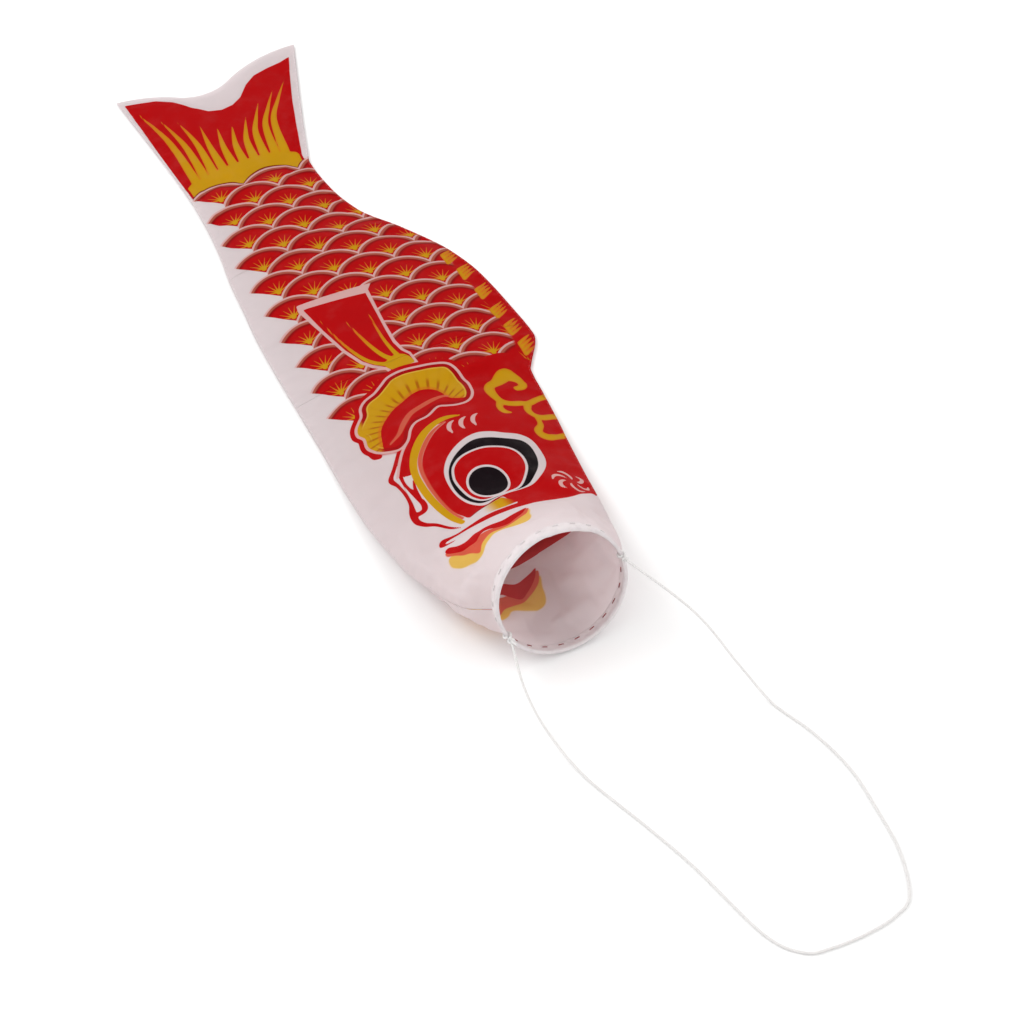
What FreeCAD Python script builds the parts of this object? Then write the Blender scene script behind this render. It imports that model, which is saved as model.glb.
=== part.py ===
"""Carp streamer (fish-shaped windsock), lying on its left flank with its mouth held open by a hoop.

Frame: millimetres, +Z up, mouth towards -Y, tail towards +Y, +X on the fish's back (dorsal) side.
The origin is the point of the resting plane under the lowest point of the mouth.

The fish is a tube of two printed cloth flanks, sewn together along the back and along the belly.
Cloth bends anywhere; here it is cut into four rigid lengths (head, front, rear, tail) that hinge.
A wire hoop sewn into the mouth hem keeps the mouth round, and a cord bridle is tied to the hoop.
"""
import FreeCAD, Part
import math
import os

import Sketcher

# ---------------------------------------------------------------- driving dimensions, in mm and degrees
GENERAL = [
    ("cloth", 0.8),              # thickness of a flank's sheet
    ("seam_gap", 1.0),           # clear height between the two flanks at their edges
    ("seam_inset", 0.6),         # seam thread's distance inside the cloth edge
    ("seam_thread", 0.3),        # seam thread's radius
    ("tail_gap", 1.3),           # clear height between the two flanks in the tail
    ("hoop_radius", 36.5),       # mouth hoop, to the middle of its wire
    ("hoop_wire", 0.8),          # radius of the hoop's wire
    ("hoop_lean", 15.0),         # the mouth leans back by this angle
    ("hoop_lift", 2.5),          # height of the lowest point of the wire
    ("sleeve_bore", 0.84),       # joint sleeve over the ends of the hoop's wire
    ("sleeve_outer", 1.2),
    ("sleeve_angle", 30.0),
    ("hem_bulge", 1.9),          # hem's outer radius around the wire
    ("hem_hollow", 1.3),         # hem's inner radius around the wire
    ("hem_width", 6.5),          # from the wire to the rear edge of the hem
    ("hem_ply", 1.2),            # thickness of the hem's double layer
    ("hem_gap", 0.4),            # from the hem's rear edge to the flanks
    ("stitch_count", 24),
    ("stitch_radius", 0.25),
    ("stitch_sweep", 4.8),       # angle of the hoop that one stitch covers
    ("stitch_back", 4.6),        # from the wire to the row of stitches
    ("cord", 0.75),              # radius of the bridle cord
    ("wrap_clear", 0.1),         # from the hem to the cord wrapped round it
    ("wrap_sweep", 240.0),
    ("knot", 2.1),               # radius of a tie's knot
    ("knot_clear", 0.5),         # from a knot to the end of its bridle leg
    ("dorsal_tie_angle", 12.0),  # places of the ties round the hoop, from +X
    ("ventral_tie_angle", 202.0),
    ("fold_along", -80.0),       # line on the table where the bridle bends
    ("fold_gap", 2.0),
    ("dorsal_fold", 75.0),       # where each bridle leg meets that line
    ("ventral_fold", -31.0),
    ("dorsal_leg_slope", 42.0),
    ("ventral_leg_slope", 32.0),
    ("loop_heading", -62.0),     # direction in which the loop leaves the dorsal leg
    ("tail_length", 117.0),      # from the tail's root line to its tips
    ("tail_tip_dorsal", 63.0),
    ("tail_tip_ventral", 61.0),
    ("tail_notch_depth", 21.0),
    ("tail_notch_middle", -7.0),
    ("tail_notch_radius", 30.0),
    ("tail_lobe_radius", 90.0),
    ("tail_side_radius", 900.0),
]

# Stations along the fish: distance from the mouth, half widths to the back and to the belly,
# height of the seams and height of the right flank's crown.
STATIONS = [
    ("lip", 29.0, 44.0, 47.5, 30.0, 69.0),
    ("snout", 55.0, 50.0, 55.5, 22.0, 52.5),
    ("brow", 80.0, 54.5, 60.5, 15.0, 37.5),
    ("eye", 105.0, 58.0, 62.5, 10.0, 31.0),
    ("cheek", 130.0, 61.5, 64.0, 6.5, 27.5),
    ("gill", 155.0, 65.0, 64.0, 4.0, 24.0),
    ("collar", 178.0, 67.5, 63.5, 2.5, 19.0),
    ("neck", 200.0, 70.0, 63.0, 1.6, 13.0),
    ("nape", 205.0, 73.0, 63.0, 1.6, 12.2),
    ("fin", 226.0, 84.0, 63.0, 1.6, 11.2),
    ("back", 256.0, 82.0, 63.0, 1.6, 10.0),
    ("saddle", 290.0, 78.0, 62.5, 1.6, 9.4),
    ("waist", 315.0, 71.0, 61.0, 1.6, 9.0),
    ("loin", 320.0, 69.0, 60.5, 1.6, 9.0),
    ("rump", 350.0, 53.0, 58.5, 1.6, 8.0),
    ("narrowing", 378.0, 36.0, 55.0, 1.6, 7.0),
    ("stalk", 405.0, 29.0, 53.0, 1.6, 6.2),
    ("wrist", 428.0, 27.0, 52.5, 1.6, 5.6),
    ("root", 433.0, 27.0, 52.5, 1.6, 3.0),
]
STATION_FIELDS = ("along", "dorsal", "ventral", "seam", "crown")

HEAD = ["lip", "snout", "brow", "eye", "cheek", "gill", "collar", "neck"]
FRONT = ["nape", "fin", "back", "saddle", "waist"]
REAR = ["loin", "rump", "narrowing", "stalk", "wrist"]

# Bridle loop on the table, from the dorsal leg round to the ventral leg: (across, along).
LOOP = [
    ("loop_shoulder", 90.0, -136.0),
    ("loop_corner", 86.0, -192.0),
    ("loop_turn", 75.0, -216.0),
    ("loop_front", 46.5, -228.0),
    ("loop_bend", 16.0, -222.0),
    ("loop_return", 3.0, -209.0),
]

doc = FreeCAD.newDocument("carp_streamer")
sheet = doc.addObject("Spreadsheet::Sheet", "sizes")
parts = []


class Size:
    """A length or an angle that knows both its number and its formula on the sheet."""

    def __init__(self, value, text):
        self.value = value
        self.text = text

    def __add__(self, other):
        other = as_size(other)
        return Size(self.value + other.value, f"({self.text} + {other.text})")

    def __sub__(self, other):
        other = as_size(other)
        return Size(self.value - other.value, f"({self.text} - {other.text})")

    def __mul__(self, other):
        other = as_size(other)
        return Size(self.value * other.value, f"({self.text} * {other.text})")

    def __truediv__(self, other):
        other = as_size(other)
        return Size(self.value / other.value, f"({self.text} / {other.text})")

    def __neg__(self):
        return Size(-self.value, f"(-1 * {self.text})")


def as_size(number):
    """A plain number as a Size; a Size as it is."""
    return number if isinstance(number, Size) else Size(float(number), repr(float(number)))


def sine(angle):
    return Size(math.sin(math.radians(angle.value)), f"sin({angle.text} * 1 deg)")


def cosine(angle):
    return Size(math.cos(math.radians(angle.value)), f"cos({angle.text} * 1 deg)")


def fill_sheet():
    """Writes every driving dimension into its own cell, with its name as alias."""
    rows = list(GENERAL)
    for name, *numbers in STATIONS:
        rows += [(f"{name}_{field}", number) for field, number in zip(STATION_FIELDS, numbers)]
    for name, across, along in LOOP:
        rows += [(f"{name}_across", across), (f"{name}_along", along)]
    for row, (alias, number) in enumerate(rows, start=1):
        sheet.set(f"A{row}", alias)
        sheet.set(f"B{row}", str(number))
        sheet.setAlias(f"B{row}", alias)
    doc.recompute()


def size(alias):
    return Size(float(sheet.get(alias)), f"sizes.{alias}")


# ---------------------------------------------------------------- sketches
def new_body(label):
    body = doc.addObject("PartDesign::Body", label)
    body.Label = label
    parts.append(body)
    return body


def new_sketch(body, name, role):
    """An empty sketch on one of the body's own origin planes."""
    sketch = body.newObject("Sketcher::SketchObject", f"{body.Name}_{name}")
    plane = [feature for feature in body.Origin.OriginFeatures if feature.Role == role][0]
    sketch.AttachmentSupport = [(plane, "")]
    sketch.MapMode = "FlatFace"
    return sketch


def shift_sketch(sketch, distance):
    """Moves a sketch along its plane's normal."""
    sketch.AttachmentOffset = FreeCAD.Placement(FreeCAD.Vector(0, 0, distance.value), FreeCAD.Rotation())
    sketch.setExpression("AttachmentOffset.Base.z", distance.text)


def bind(sketch, kind, references, amount):
    """Adds a dimension to a sketch and binds it to the sheet."""
    amount = as_size(amount)
    index = sketch.addConstraint(Sketcher.Constraint(kind, *references, amount.value))
    sketch.setExpression(f"Constraints[{index}]", amount.text)


def fix_point(sketch, geometry, position, across, up):
    bind(sketch, "DistanceX", (-1, 1, geometry, position), across)
    bind(sketch, "DistanceY", (-1, 1, geometry, position), up)


def add_line(sketch, start, end):
    first = FreeCAD.Vector(start[0].value, start[1].value, 0)
    last = FreeCAD.Vector(end[0].value, end[1].value, 0)
    return sketch.addGeometry(Part.LineSegment(first, last), False)


def add_arc(sketch, centre, start, end):
    """A counter-clockwise arc about centre from start to end."""
    middle = FreeCAD.Vector(centre[0].value, centre[1].value, 0)
    first = FreeCAD.Vector(start[0].value, start[1].value, 0) - middle
    last = FreeCAD.Vector(end[0].value, end[1].value, 0) - middle
    circle = Part.Circle(middle, FreeCAD.Vector(0, 0, 1), first.Length)
    arc = Part.ArcOfCircle(circle, math.atan2(first.y, first.x), math.atan2(last.y, last.x))
    return sketch.addGeometry(arc, False)


def add_circle(sketch, across, up, radius):
    middle = FreeCAD.Vector(as_size(across).value, as_size(up).value, 0)
    circle = sketch.addGeometry(Part.Circle(middle, FreeCAD.Vector(0, 0, 1), radius.value), False)
    fix_point(sketch, circle, 3, across, up)
    bind(sketch, "Radius", (circle,), radius)
    return circle


def close_loop(sketch, edges):
    """Joins each edge's end to the next edge's start."""
    for edge, following in zip(edges, edges[1:] + edges[:1]):
        sketch.addConstraint(Sketcher.Constraint("Coincident", edge, 2, following, 1))


def cloth_section(sketch, dorsal, ventral, edge_height, far_height):
    """A bowed strip of cloth whose inner face runs from edge to edge and whose outer face reaches far_height."""
    upwards = far_height.value > edge_height.value
    cloth = size("cloth") if upwards else -size("cloth")
    half = (dorsal + ventral) / 2
    middle = (dorsal - ventral) / 2
    rise = far_height - cloth - edge_height
    radius = (half * half + rise * rise) / (rise * 2)
    centre = (middle, far_height - cloth - radius)
    grow = (radius + cloth) / radius
    climb = (edge_height - centre[1]) * grow
    inner_right = (middle + half, edge_height)
    inner_left = (middle - half, edge_height)
    right = (middle + half * grow, centre[1] + climb)
    left = (middle - half * grow, centre[1] + climb)
    ends = [right, left, inner_left, inner_right] if upwards else [left, right, inner_right, inner_left]
    outer = add_arc(sketch, centre, ends[0], ends[1])
    first_end = add_line(sketch, ends[1], ends[2])
    inner = add_arc(sketch, centre, ends[3], ends[2])
    second_end = add_line(sketch, ends[3], ends[0])
    sketch.addConstraint(Sketcher.Constraint("Coincident", outer, 2, first_end, 1))
    sketch.addConstraint(Sketcher.Constraint("Coincident", first_end, 2, inner, 2))
    sketch.addConstraint(Sketcher.Constraint("Coincident", inner, 1, second_end, 1))
    sketch.addConstraint(Sketcher.Constraint("Coincident", second_end, 2, outer, 1))
    fix_point(sketch, outer, 1, *ends[0])
    fix_point(sketch, outer, 2, *ends[1])
    fix_point(sketch, inner, 1, *ends[3])
    fix_point(sketch, inner, 2, *ends[2])
    bind(sketch, "DistanceY", (-1, 1, outer, 3), centre[1])
    bind(sketch, "DistanceY", (-1, 1, inner, 3), centre[1])


# ---------------------------------------------------------------- lofts along the fish
def station_plane(body, station):
    sketch = new_sketch(body, station, "XZ_Plane")
    shift_sketch(sketch, -size(f"{station}_along"))
    return sketch


def mouth_plane(body):
    """The leaning plane just behind the hem; heights on it run from the hoop's lowest point."""
    sketch = new_sketch(body, "mouth", "XZ_Plane")
    back = size("hem_width") + size("hem_gap")
    lean = size("hoop_lean")
    along = -back * cosine(lean)
    height = size("hoop_lift") - back * sine(lean)
    tilt = FreeCAD.Rotation(FreeCAD.Vector(1, 0, 0), -lean.value)
    sketch.AttachmentOffset = FreeCAD.Placement(FreeCAD.Vector(0, height.value, along.value), tilt)
    sketch.setExpression("AttachmentOffset.Base.y", height.text)
    sketch.setExpression("AttachmentOffset.Base.z", along.text)
    sketch.setExpression("AttachmentOffset.Rotation.Angle", f"{lean.text} * 1 deg")
    sketch.setExpression("AttachmentOffset.Rotation.Axis.x", "-1")
    return sketch


def loft(body, sketches):
    feature = body.newObject("PartDesign::AdditiveLoft", f"{body.Name}_loft")
    feature.Profile = sketches[0]
    feature.Sections = sketches[1:]
    feature.Ruled = True
    for sketch in sketches:
        sketch.Visibility = False


def bowed_flank(label, stations, from_mouth, lower=False):
    """One length of a flank, bowed across the fish."""
    body = new_body(label)
    half_gap = size("seam_gap") / 2
    radius = size("hoop_radius")
    sketches = []
    if from_mouth:
        sketch = mouth_plane(body)
        bore = radius - size("cloth")
        if lower:
            cloth_section(sketch, bore, bore, radius - half_gap, as_size(0))
        else:
            cloth_section(sketch, bore, bore, radius + half_gap, radius * 2)
        sketches.append(sketch)
    for station in stations:
        sketch = station_plane(body, station)
        dorsal, ventral = size(f"{station}_dorsal"), size(f"{station}_ventral")
        seam = size(f"{station}_seam")
        if lower:
            cloth_section(sketch, dorsal, ventral, seam - half_gap, as_size(0))
        else:
            cloth_section(sketch, dorsal, ventral, seam + half_gap, size(f"{station}_crown"))
        sketches.append(sketch)
    loft(body, sketches)
    return body


def seam_thread(label, stations, from_mouth, dorsal):
    """One length of the thread along the back or the belly, between the two flanks."""
    body = new_body(label)
    side = 1 if dorsal else -1
    field = "dorsal" if dorsal else "ventral"
    sketches = []
    if from_mouth:
        sketch = mouth_plane(body)
        across = (size("hoop_radius") - size("seam_inset")) * side
        add_circle(sketch, across, size("hoop_radius"), size("seam_thread"))
        sketches.append(sketch)
    for station in stations:
        sketch = station_plane(body, station)
        across = (size(f"{station}_{field}") - size("seam_inset")) * side
        add_circle(sketch, across, size(f"{station}_seam"), size("seam_thread"))
        sketches.append(sketch)
    loft(body, sketches)
    return body


# ---------------------------------------------------------------- flat sheets
def pad(body, sketch, thickness):
    feature = body.newObject("PartDesign::Pad", f"{body.Name}_pad")
    feature.Profile = sketch
    feature.Length = thickness.value
    feature.setExpression("Length", thickness.text)
    sketch.Visibility = False


def flat_flank(label, stations):
    """One length of the flank that lies flat on the resting plane."""
    body = new_body(label)
    sketch = new_sketch(body, "outline", "XY_Plane")
    corners = [(size(f"{s}_dorsal"), size(f"{s}_along")) for s in stations]
    corners += [(-size(f"{s}_ventral"), size(f"{s}_along")) for s in reversed(stations)]
    edges = [add_line(sketch, a, b) for a, b in zip(corners, corners[1:] + corners[:1])]
    close_loop(sketch, edges)
    for edge, corner in zip(edges, corners):
        fix_point(sketch, edge, 1, *corner)
    pad(body, sketch, size("cloth"))
    return body


def add_shallow_arc(sketch, start, end, radius, bulge_left):
    """An arc of a given radius between two points, which bows to the left or right of its chord."""
    first = FreeCAD.Vector(start[0].value, start[1].value, 0)
    last = FreeCAD.Vector(end[0].value, end[1].value, 0)
    chord = last - first
    left = FreeCAD.Vector(-chord.y, chord.x, 0).normalize() * (1 if bulge_left else -1)
    centre = (first + last) / 2 - left * math.sqrt(radius.value**2 - (chord.Length / 2) ** 2)
    top = centre + left * radius.value
    arc = sketch.addGeometry(Part.Arc(first, top, last), False)
    bind(sketch, "Radius", (arc,), radius)
    # an arc always runs counter-clockwise, so it starts at the second point when it bows to the left
    return (arc, 2, 1) if bulge_left else (arc, 1, 2)


def tail_sheet(label, height):
    """One flank's tail fin: slightly hollow sides, two lobes and a round notch between them."""
    body = new_body(label)
    sketch = new_sketch(body, "outline", "XY_Plane")
    if height:
        shift_sketch(sketch, height)
    root = size("root_along")
    tips = root + size("tail_length")
    notch = tips - size("tail_notch_depth")
    middle = size("tail_notch_middle")
    reach = size("tail_notch_radius") / 2
    lift = size("tail_notch_depth") / 6
    corners = [
        (-size("root_ventral"), root),
        (size("root_dorsal"), root),
        (size("tail_tip_dorsal"), tips),
        (middle + reach, notch + lift),
        (middle - reach, notch + lift),
        (-size("tail_tip_ventral"), tips),
    ]
    bows = [
        None,
        ("tail_side_radius", True),
        ("tail_lobe_radius", False),
        ("tail_notch_radius", True),
        ("tail_lobe_radius", False),
        ("tail_side_radius", True),
    ]
    edges = []
    for start, end, bow in zip(corners, corners[1:] + corners[:1], bows):
        if bow is None:
            edges.append((add_line(sketch, start, end), 1, 2))
        else:
            edges.append(add_shallow_arc(sketch, start, end, size(bow[0]), bow[1]))
    for (edge, _, last), (following, first, _) in zip(edges, edges[1:] + edges[:1]):
        sketch.addConstraint(Sketcher.Constraint("Coincident", edge, last, following, first))
    for (edge, first, _), corner in zip(edges, corners):
        fix_point(sketch, edge, first, *corner)
    pad(body, sketch, size("cloth"))
    return body


def tail_seam(label, dorsal):
    """The straight seam thread along one side of the tail, clear of the hollow side."""
    body = new_body(label)
    side = 1 if dorsal else -1
    name = "dorsal" if dorsal else "ventral"
    inset = size("seam_inset") * 8
    tips = size("root_along") + size("tail_length")
    height = size("cloth") + size("tail_gap") / 2
    sketches = []
    for place, along, across in (
        ("start", size("root_along"), size(f"root_{name}") - inset / 4),
        ("finish", tips - inset, size(f"tail_tip_{name}") - inset),
    ):
        sketch = new_sketch(body, place, "XZ_Plane")
        shift_sketch(sketch, -along)
        add_circle(sketch, across * side, height, size("seam_thread"))
        sketches.append(sketch)
    loft(body, sketches)
    return body


# ---------------------------------------------------------------- mouth hoop, its hem and stitches
def hoop_frame():
    """Placement whose Y axis is the hoop's axis and whose origin is the hoop's centre."""
    lean = size("hoop_lean").value
    radius = size("hoop_radius").value
    along = radius * math.sin(math.radians(lean))
    height = size("hoop_lift").value + radius * math.cos(math.radians(lean))
    turn = FreeCAD.Rotation(FreeCAD.Vector(1, 0, 0), -lean)
    return FreeCAD.Placement(FreeCAD.Vector(0, along, height), turn)


def revolve(body, sketch, angle=None):
    """Turns a profile about the hoop's axis."""
    feature = body.newObject("PartDesign::Revolution", f"{body.Name}_revolution")
    feature.Profile = sketch
    feature.ReferenceAxis = (sketch, ["H_Axis"])
    if angle:
        feature.Angle = angle.value
        feature.setExpression("Angle", f"{angle.text} * 1 deg")
    sketch.Visibility = False
    return feature


def mouth_hoop():
    body = new_body("mouth_hoop")
    sketch = new_sketch(body, "wire", "YZ_Plane")
    add_circle(sketch, 0, size("hoop_radius"), size("hoop_wire"))
    revolve(body, sketch)
    body.Placement = hoop_frame()


def hoop_sleeve():
    """The short tube that joins the ends of the hoop's wire."""
    body = new_body("hoop_sleeve")
    sketch = new_sketch(body, "tube", "YZ_Plane")
    add_circle(sketch, 0, size("hoop_radius"), size("sleeve_bore"))
    add_circle(sketch, 0, size("hoop_radius"), size("sleeve_outer"))
    revolve(body, sketch, size("sleeve_angle"))
    body.Placement = hoop_frame()


def mouth_hem():
    """The mouth's edge, folded over the wire and sewn down: a hollow bead with a flat double tail."""
    body = new_body("mouth_hem")
    sketch = new_sketch(body, "fold", "YZ_Plane")
    radius, bulge = size("hoop_radius"), size("hem_bulge")
    half_ply = size("hem_ply") / 2
    reach = Size(
        math.sqrt(bulge.value**2 - half_ply.value**2),
        f"sqrt({bulge.text}^2 - {half_ply.text}^2)",
    )
    upper = (reach, radius + half_ply)
    lower = (reach, radius - half_ply)
    rear_upper = (size("hem_width"), radius + half_ply)
    rear_lower = (size("hem_width"), radius - half_ply)
    edges = [
        add_arc(sketch, (as_size(0), radius), upper, lower),
        add_line(sketch, lower, rear_lower),
        add_line(sketch, rear_lower, rear_upper),
        add_line(sketch, rear_upper, upper),
    ]
    close_loop(sketch, edges)
    fix_point(sketch, edges[0], 1, *upper)
    fix_point(sketch, edges[0], 2, *lower)
    bind(sketch, "DistanceX", (-1, 1, edges[0], 3), 0)
    fix_point(sketch, edges[1], 2, *rear_lower)
    fix_point(sketch, edges[2], 2, *rear_upper)
    add_circle(sketch, 0, radius, size("hem_hollow"))
    revolve(body, sketch)
    body.Placement = hoop_frame()


def hem_stitches():
    """Running stitches round the inside of the hem: one short arc of thread, repeated."""
    body = new_body("hem_stitches")
    body.AllowCompound = True
    sketch = new_sketch(body, "thread", "YZ_Plane")
    clearance = size("wrap_clear")
    radial = size("hoop_radius") - size("hem_ply") / 2 - size("stitch_radius") - clearance
    add_circle(sketch, size("stitch_back"), radial, size("stitch_radius"))
    stitch = revolve(body, sketch, size("stitch_sweep"))
    row = body.newObject("PartDesign::PolarPattern", "stitch_row")
    row.Originals = [stitch]
    row.Axis = (sketch, ["H_Axis"])
    row.Angle = 360
    row.Occurrences = int(size("stitch_count").value)
    row.setExpression("Occurrences", size("stitch_count").text)
    body.Tip = row
    body.Placement = hoop_frame()


# ---------------------------------------------------------------- bridle
def tie_axes(angle):
    """At one place on the hoop: wire's middle, outward, along the wire, and tailwards directions."""
    frame = hoop_frame()
    turn = math.radians(angle.value)
    radial = frame.Rotation.multVec(FreeCAD.Vector(math.cos(turn), 0, math.sin(turn)))
    tailwards = frame.Rotation.multVec(FreeCAD.Vector(0, 1, 0))
    place = frame.Base + radial * size("hoop_radius").value
    return place, radial, radial.cross(tailwards), tailwards


def knot_reach():
    """From the middle of the wire to the middle of a tie's knot."""
    return size("hem_bulge") + size("wrap_clear") + size("cord") + size("knot")


def knot_place(angle):
    place, _, _, tailwards = tie_axes(angle)
    return place - tailwards * knot_reach().value


def tie(label, angle):
    """Cord wrapped over the front of the hem and knotted."""
    wrap = doc.addObject("Part::Torus", f"{label}_wrap")
    around = size("hem_bulge") + size("wrap_clear") + size("cord")
    wrap.setExpression("Radius1", around.text)
    wrap.setExpression("Radius2", size("cord").text)
    wrap.setExpression("Angle3", f"{size('wrap_sweep').text} * 1 deg")
    place, radial, tangent, tailwards = tie_axes(angle)
    open_half = math.radians(180 - size("wrap_sweep").value / 2)
    start = tailwards * math.cos(open_half) + tangent.cross(tailwards) * math.sin(open_half)
    turned = FreeCAD.Rotation(start, tangent.cross(start), tangent, "ZXY")
    wrap.Placement = FreeCAD.Placement(place, turned)
    knot = doc.addObject("Part::Sphere", f"{label}_knot")
    knot.setExpression("Radius", size("knot").text)
    knot.Placement = FreeCAD.Placement(knot_place(angle), FreeCAD.Rotation())
    whole = doc.addObject("Part::Fuse", label)
    whole.Base = wrap
    whole.Tool = knot
    whole.Label = label
    parts.append(whole)


def bridle_leg(label, angle, fold_across, slope):
    """One leg of the bridle: straight down from its knot, then round on to the table."""
    knot = knot_place(size(angle))
    cord, half_gap = size("cord"), size("fold_gap") / 2
    table = FreeCAD.Vector(size(fold_across).value, (size("fold_along") + half_gap).value, cord.value)
    run = FreeCAD.Vector(table.x - knot.x, table.y - knot.y, 0)
    length, drop = as_size(run.Length), as_size(knot.z - table.z)
    radius = (length * sine(slope) - drop * cosine(slope)) / (as_size(1) - cosine(slope))
    near = size("knot") + size("knot_clear")
    start = (near * cosine(slope), drop - near * sine(slope))
    touch = (length - radius * sine(slope), radius * (as_size(1) - cosine(slope)))
    finish = (length, as_size(0))
    body = new_body(label)
    path = new_sketch(body, "path", "XZ_Plane")
    straight = add_line(path, start, touch)
    bend = add_arc(path, (length, radius), touch, finish)
    path.addConstraint(Sketcher.Constraint("Coincident", straight, 2, bend, 1))
    fix_point(path, straight, 1, *start)
    fix_point(path, straight, 2, *touch)
    fix_point(path, bend, 2, *finish)
    bind(path, "DistanceX", (-1, 1, bend, 3), length)
    section = new_sketch(body, "section", "YZ_Plane")
    shift_sketch(section, length)
    add_circle(section, 0, 0, cord)
    pipe(body, section, path)
    heading = math.degrees(math.atan2(run.y, run.x))
    turned = FreeCAD.Rotation(FreeCAD.Vector(0, 0, 1), heading)
    body.Placement = FreeCAD.Placement(FreeCAD.Vector(knot.x, knot.y, table.z), turned)


def pipe(body, section, path):
    feature = body.newObject("PartDesign::AdditivePipe", f"{body.Name}_pipe")
    feature.Profile = section
    feature.Spine = path
    section.Visibility = False
    path.Visibility = False


def bridle_loop():
    """The rest of the cord, flat on the table: a chain of arcs, each tangent to the one before."""
    body = new_body("bridle_loop")
    body.Placement = FreeCAD.Placement(FreeCAD.Vector(0, 0, size("cord").value), FreeCAD.Rotation())
    path = new_sketch(body, "path", "XY_Plane")
    begin = size("fold_along") - size("fold_gap") / 2
    points = [(size("dorsal_fold"), begin)]
    points += [(size(f"{name}_across"), size(f"{name}_along")) for name, _, _ in LOOP]
    points += [(size("ventral_fold"), begin)]
    turn = math.radians(size("loop_heading").value)
    heading = FreeCAD.Vector(math.cos(turn), math.sin(turn), 0)
    arcs = []
    centres = []
    for start, end in zip(points, points[1:]):
        first = FreeCAD.Vector(start[0].value, start[1].value, 0)
        chord = FreeCAD.Vector(end[0].value, end[1].value, 0) - first
        left = FreeCAD.Vector(-heading.y, heading.x, 0)
        reach = chord.dot(chord) / (2 * chord.dot(left))
        middle = first + left * reach
        centre = (as_size(middle.x), as_size(middle.y))
        centres.append(centre)
        if reach > 0:
            arcs.append((add_arc(path, centre, start, end), 1, 2))
        else:
            arcs.append((add_arc(path, centre, end, start), 2, 1))
        heading = chord * (2 * chord.dot(heading) / chord.dot(chord)) - heading
    for (arc, _, last), (following, first, _) in zip(arcs, arcs[1:]):
        path.addConstraint(Sketcher.Constraint("Tangent", arc, last, following, first))
    fix_point(path, arcs[0][0], arcs[0][1], *points[0])
    bind(path, "DistanceY", (-1, 1, arcs[0][0], 3), centres[0][1])
    for (arc, _, last), point in zip(arcs, points[1:]):
        fix_point(path, arc, last, *point)
    section = new_sketch(body, "section", "XZ_Plane")
    shift_sketch(section, -begin)
    add_circle(section, size("dorsal_fold"), 0, size("cord"))
    pipe(body, section, path)


# ---------------------------------------------------------------- the streamer
def check_and_write():
    """Stops on a failed feature or a bad solid, then writes one STEP file per sub-part."""
    doc.recompute()
    for feature in doc.Objects:
        if "Invalid" in feature.State or "Error" in feature.State:
            raise RuntimeError(f"{feature.Name} failed: {feature.State}")
    os.makedirs("parts", exist_ok=True)
    for part in parts:
        shape = part.Shape
        if shape.isNull() or not shape.isValid() or shape.Volume <= 0:
            raise RuntimeError(f"{part.Label} has no valid solid")
        shape.exportStep(os.path.join("parts", f"{part.Label}.step"))
        box = shape.optimalBoundingBox()
        print(f"{part.Label:24s} solids {len(shape.Solids):2d} volume {shape.Volume:9.1f}"
              f"  x {box.XMin:7.1f} {box.XMax:7.1f}  y {box.YMin:7.1f} {box.YMax:7.1f}"
              f"  z {box.ZMin:6.2f} {box.ZMax:6.2f}")


fill_sheet()

mouth_hoop()
hoop_sleeve()
mouth_hem()
hem_stitches()

bowed_flank("right_flank_head", HEAD, from_mouth=True)
bowed_flank("left_flank_head", HEAD, from_mouth=True, lower=True)
bowed_flank("right_flank_front", FRONT, from_mouth=False)
flat_flank("left_flank_front", FRONT)
bowed_flank("right_flank_rear", REAR, from_mouth=False)
flat_flank("left_flank_rear", REAR)
tail_sheet("right_flank_tail", size("cloth") + size("tail_gap"))
tail_sheet("left_flank_tail", None)

seam_thread("dorsal_seam_head", HEAD, from_mouth=True, dorsal=True)
seam_thread("ventral_seam_head", HEAD, from_mouth=True, dorsal=False)
seam_thread("dorsal_seam_front", FRONT, from_mouth=False, dorsal=True)
seam_thread("ventral_seam_front", FRONT, from_mouth=False, dorsal=False)
seam_thread("dorsal_seam_rear", REAR, from_mouth=False, dorsal=True)
seam_thread("ventral_seam_rear", REAR, from_mouth=False, dorsal=False)
tail_seam("dorsal_seam_tail", dorsal=True)
tail_seam("ventral_seam_tail", dorsal=False)

tie("dorsal_tie", size("dorsal_tie_angle"))
tie("ventral_tie", size("ventral_tie_angle"))
bridle_leg("dorsal_bridle_leg", "dorsal_tie_angle", "dorsal_fold", size("dorsal_leg_slope"))
bridle_leg("ventral_bridle_leg", "ventral_tie_angle", "ventral_fold", size("ventral_leg_slope"))
bridle_loop()

check_and_write()
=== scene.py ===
"""Carp streamer: a cloth tube sewn from two printed flanks, a mouth hem round a hoop, and a cord bridle.

Lengths are millimetres until a mesh is made. A place on a flank has two pattern coordinates, as if the
cloth were pressed flat: a runs across (0 in the middle, + towards the back) and b from mouth to tail.
"""

import math
from functools import partialmethod

import bpy
import numpy as np
from mathutils import Matrix, Vector


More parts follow.
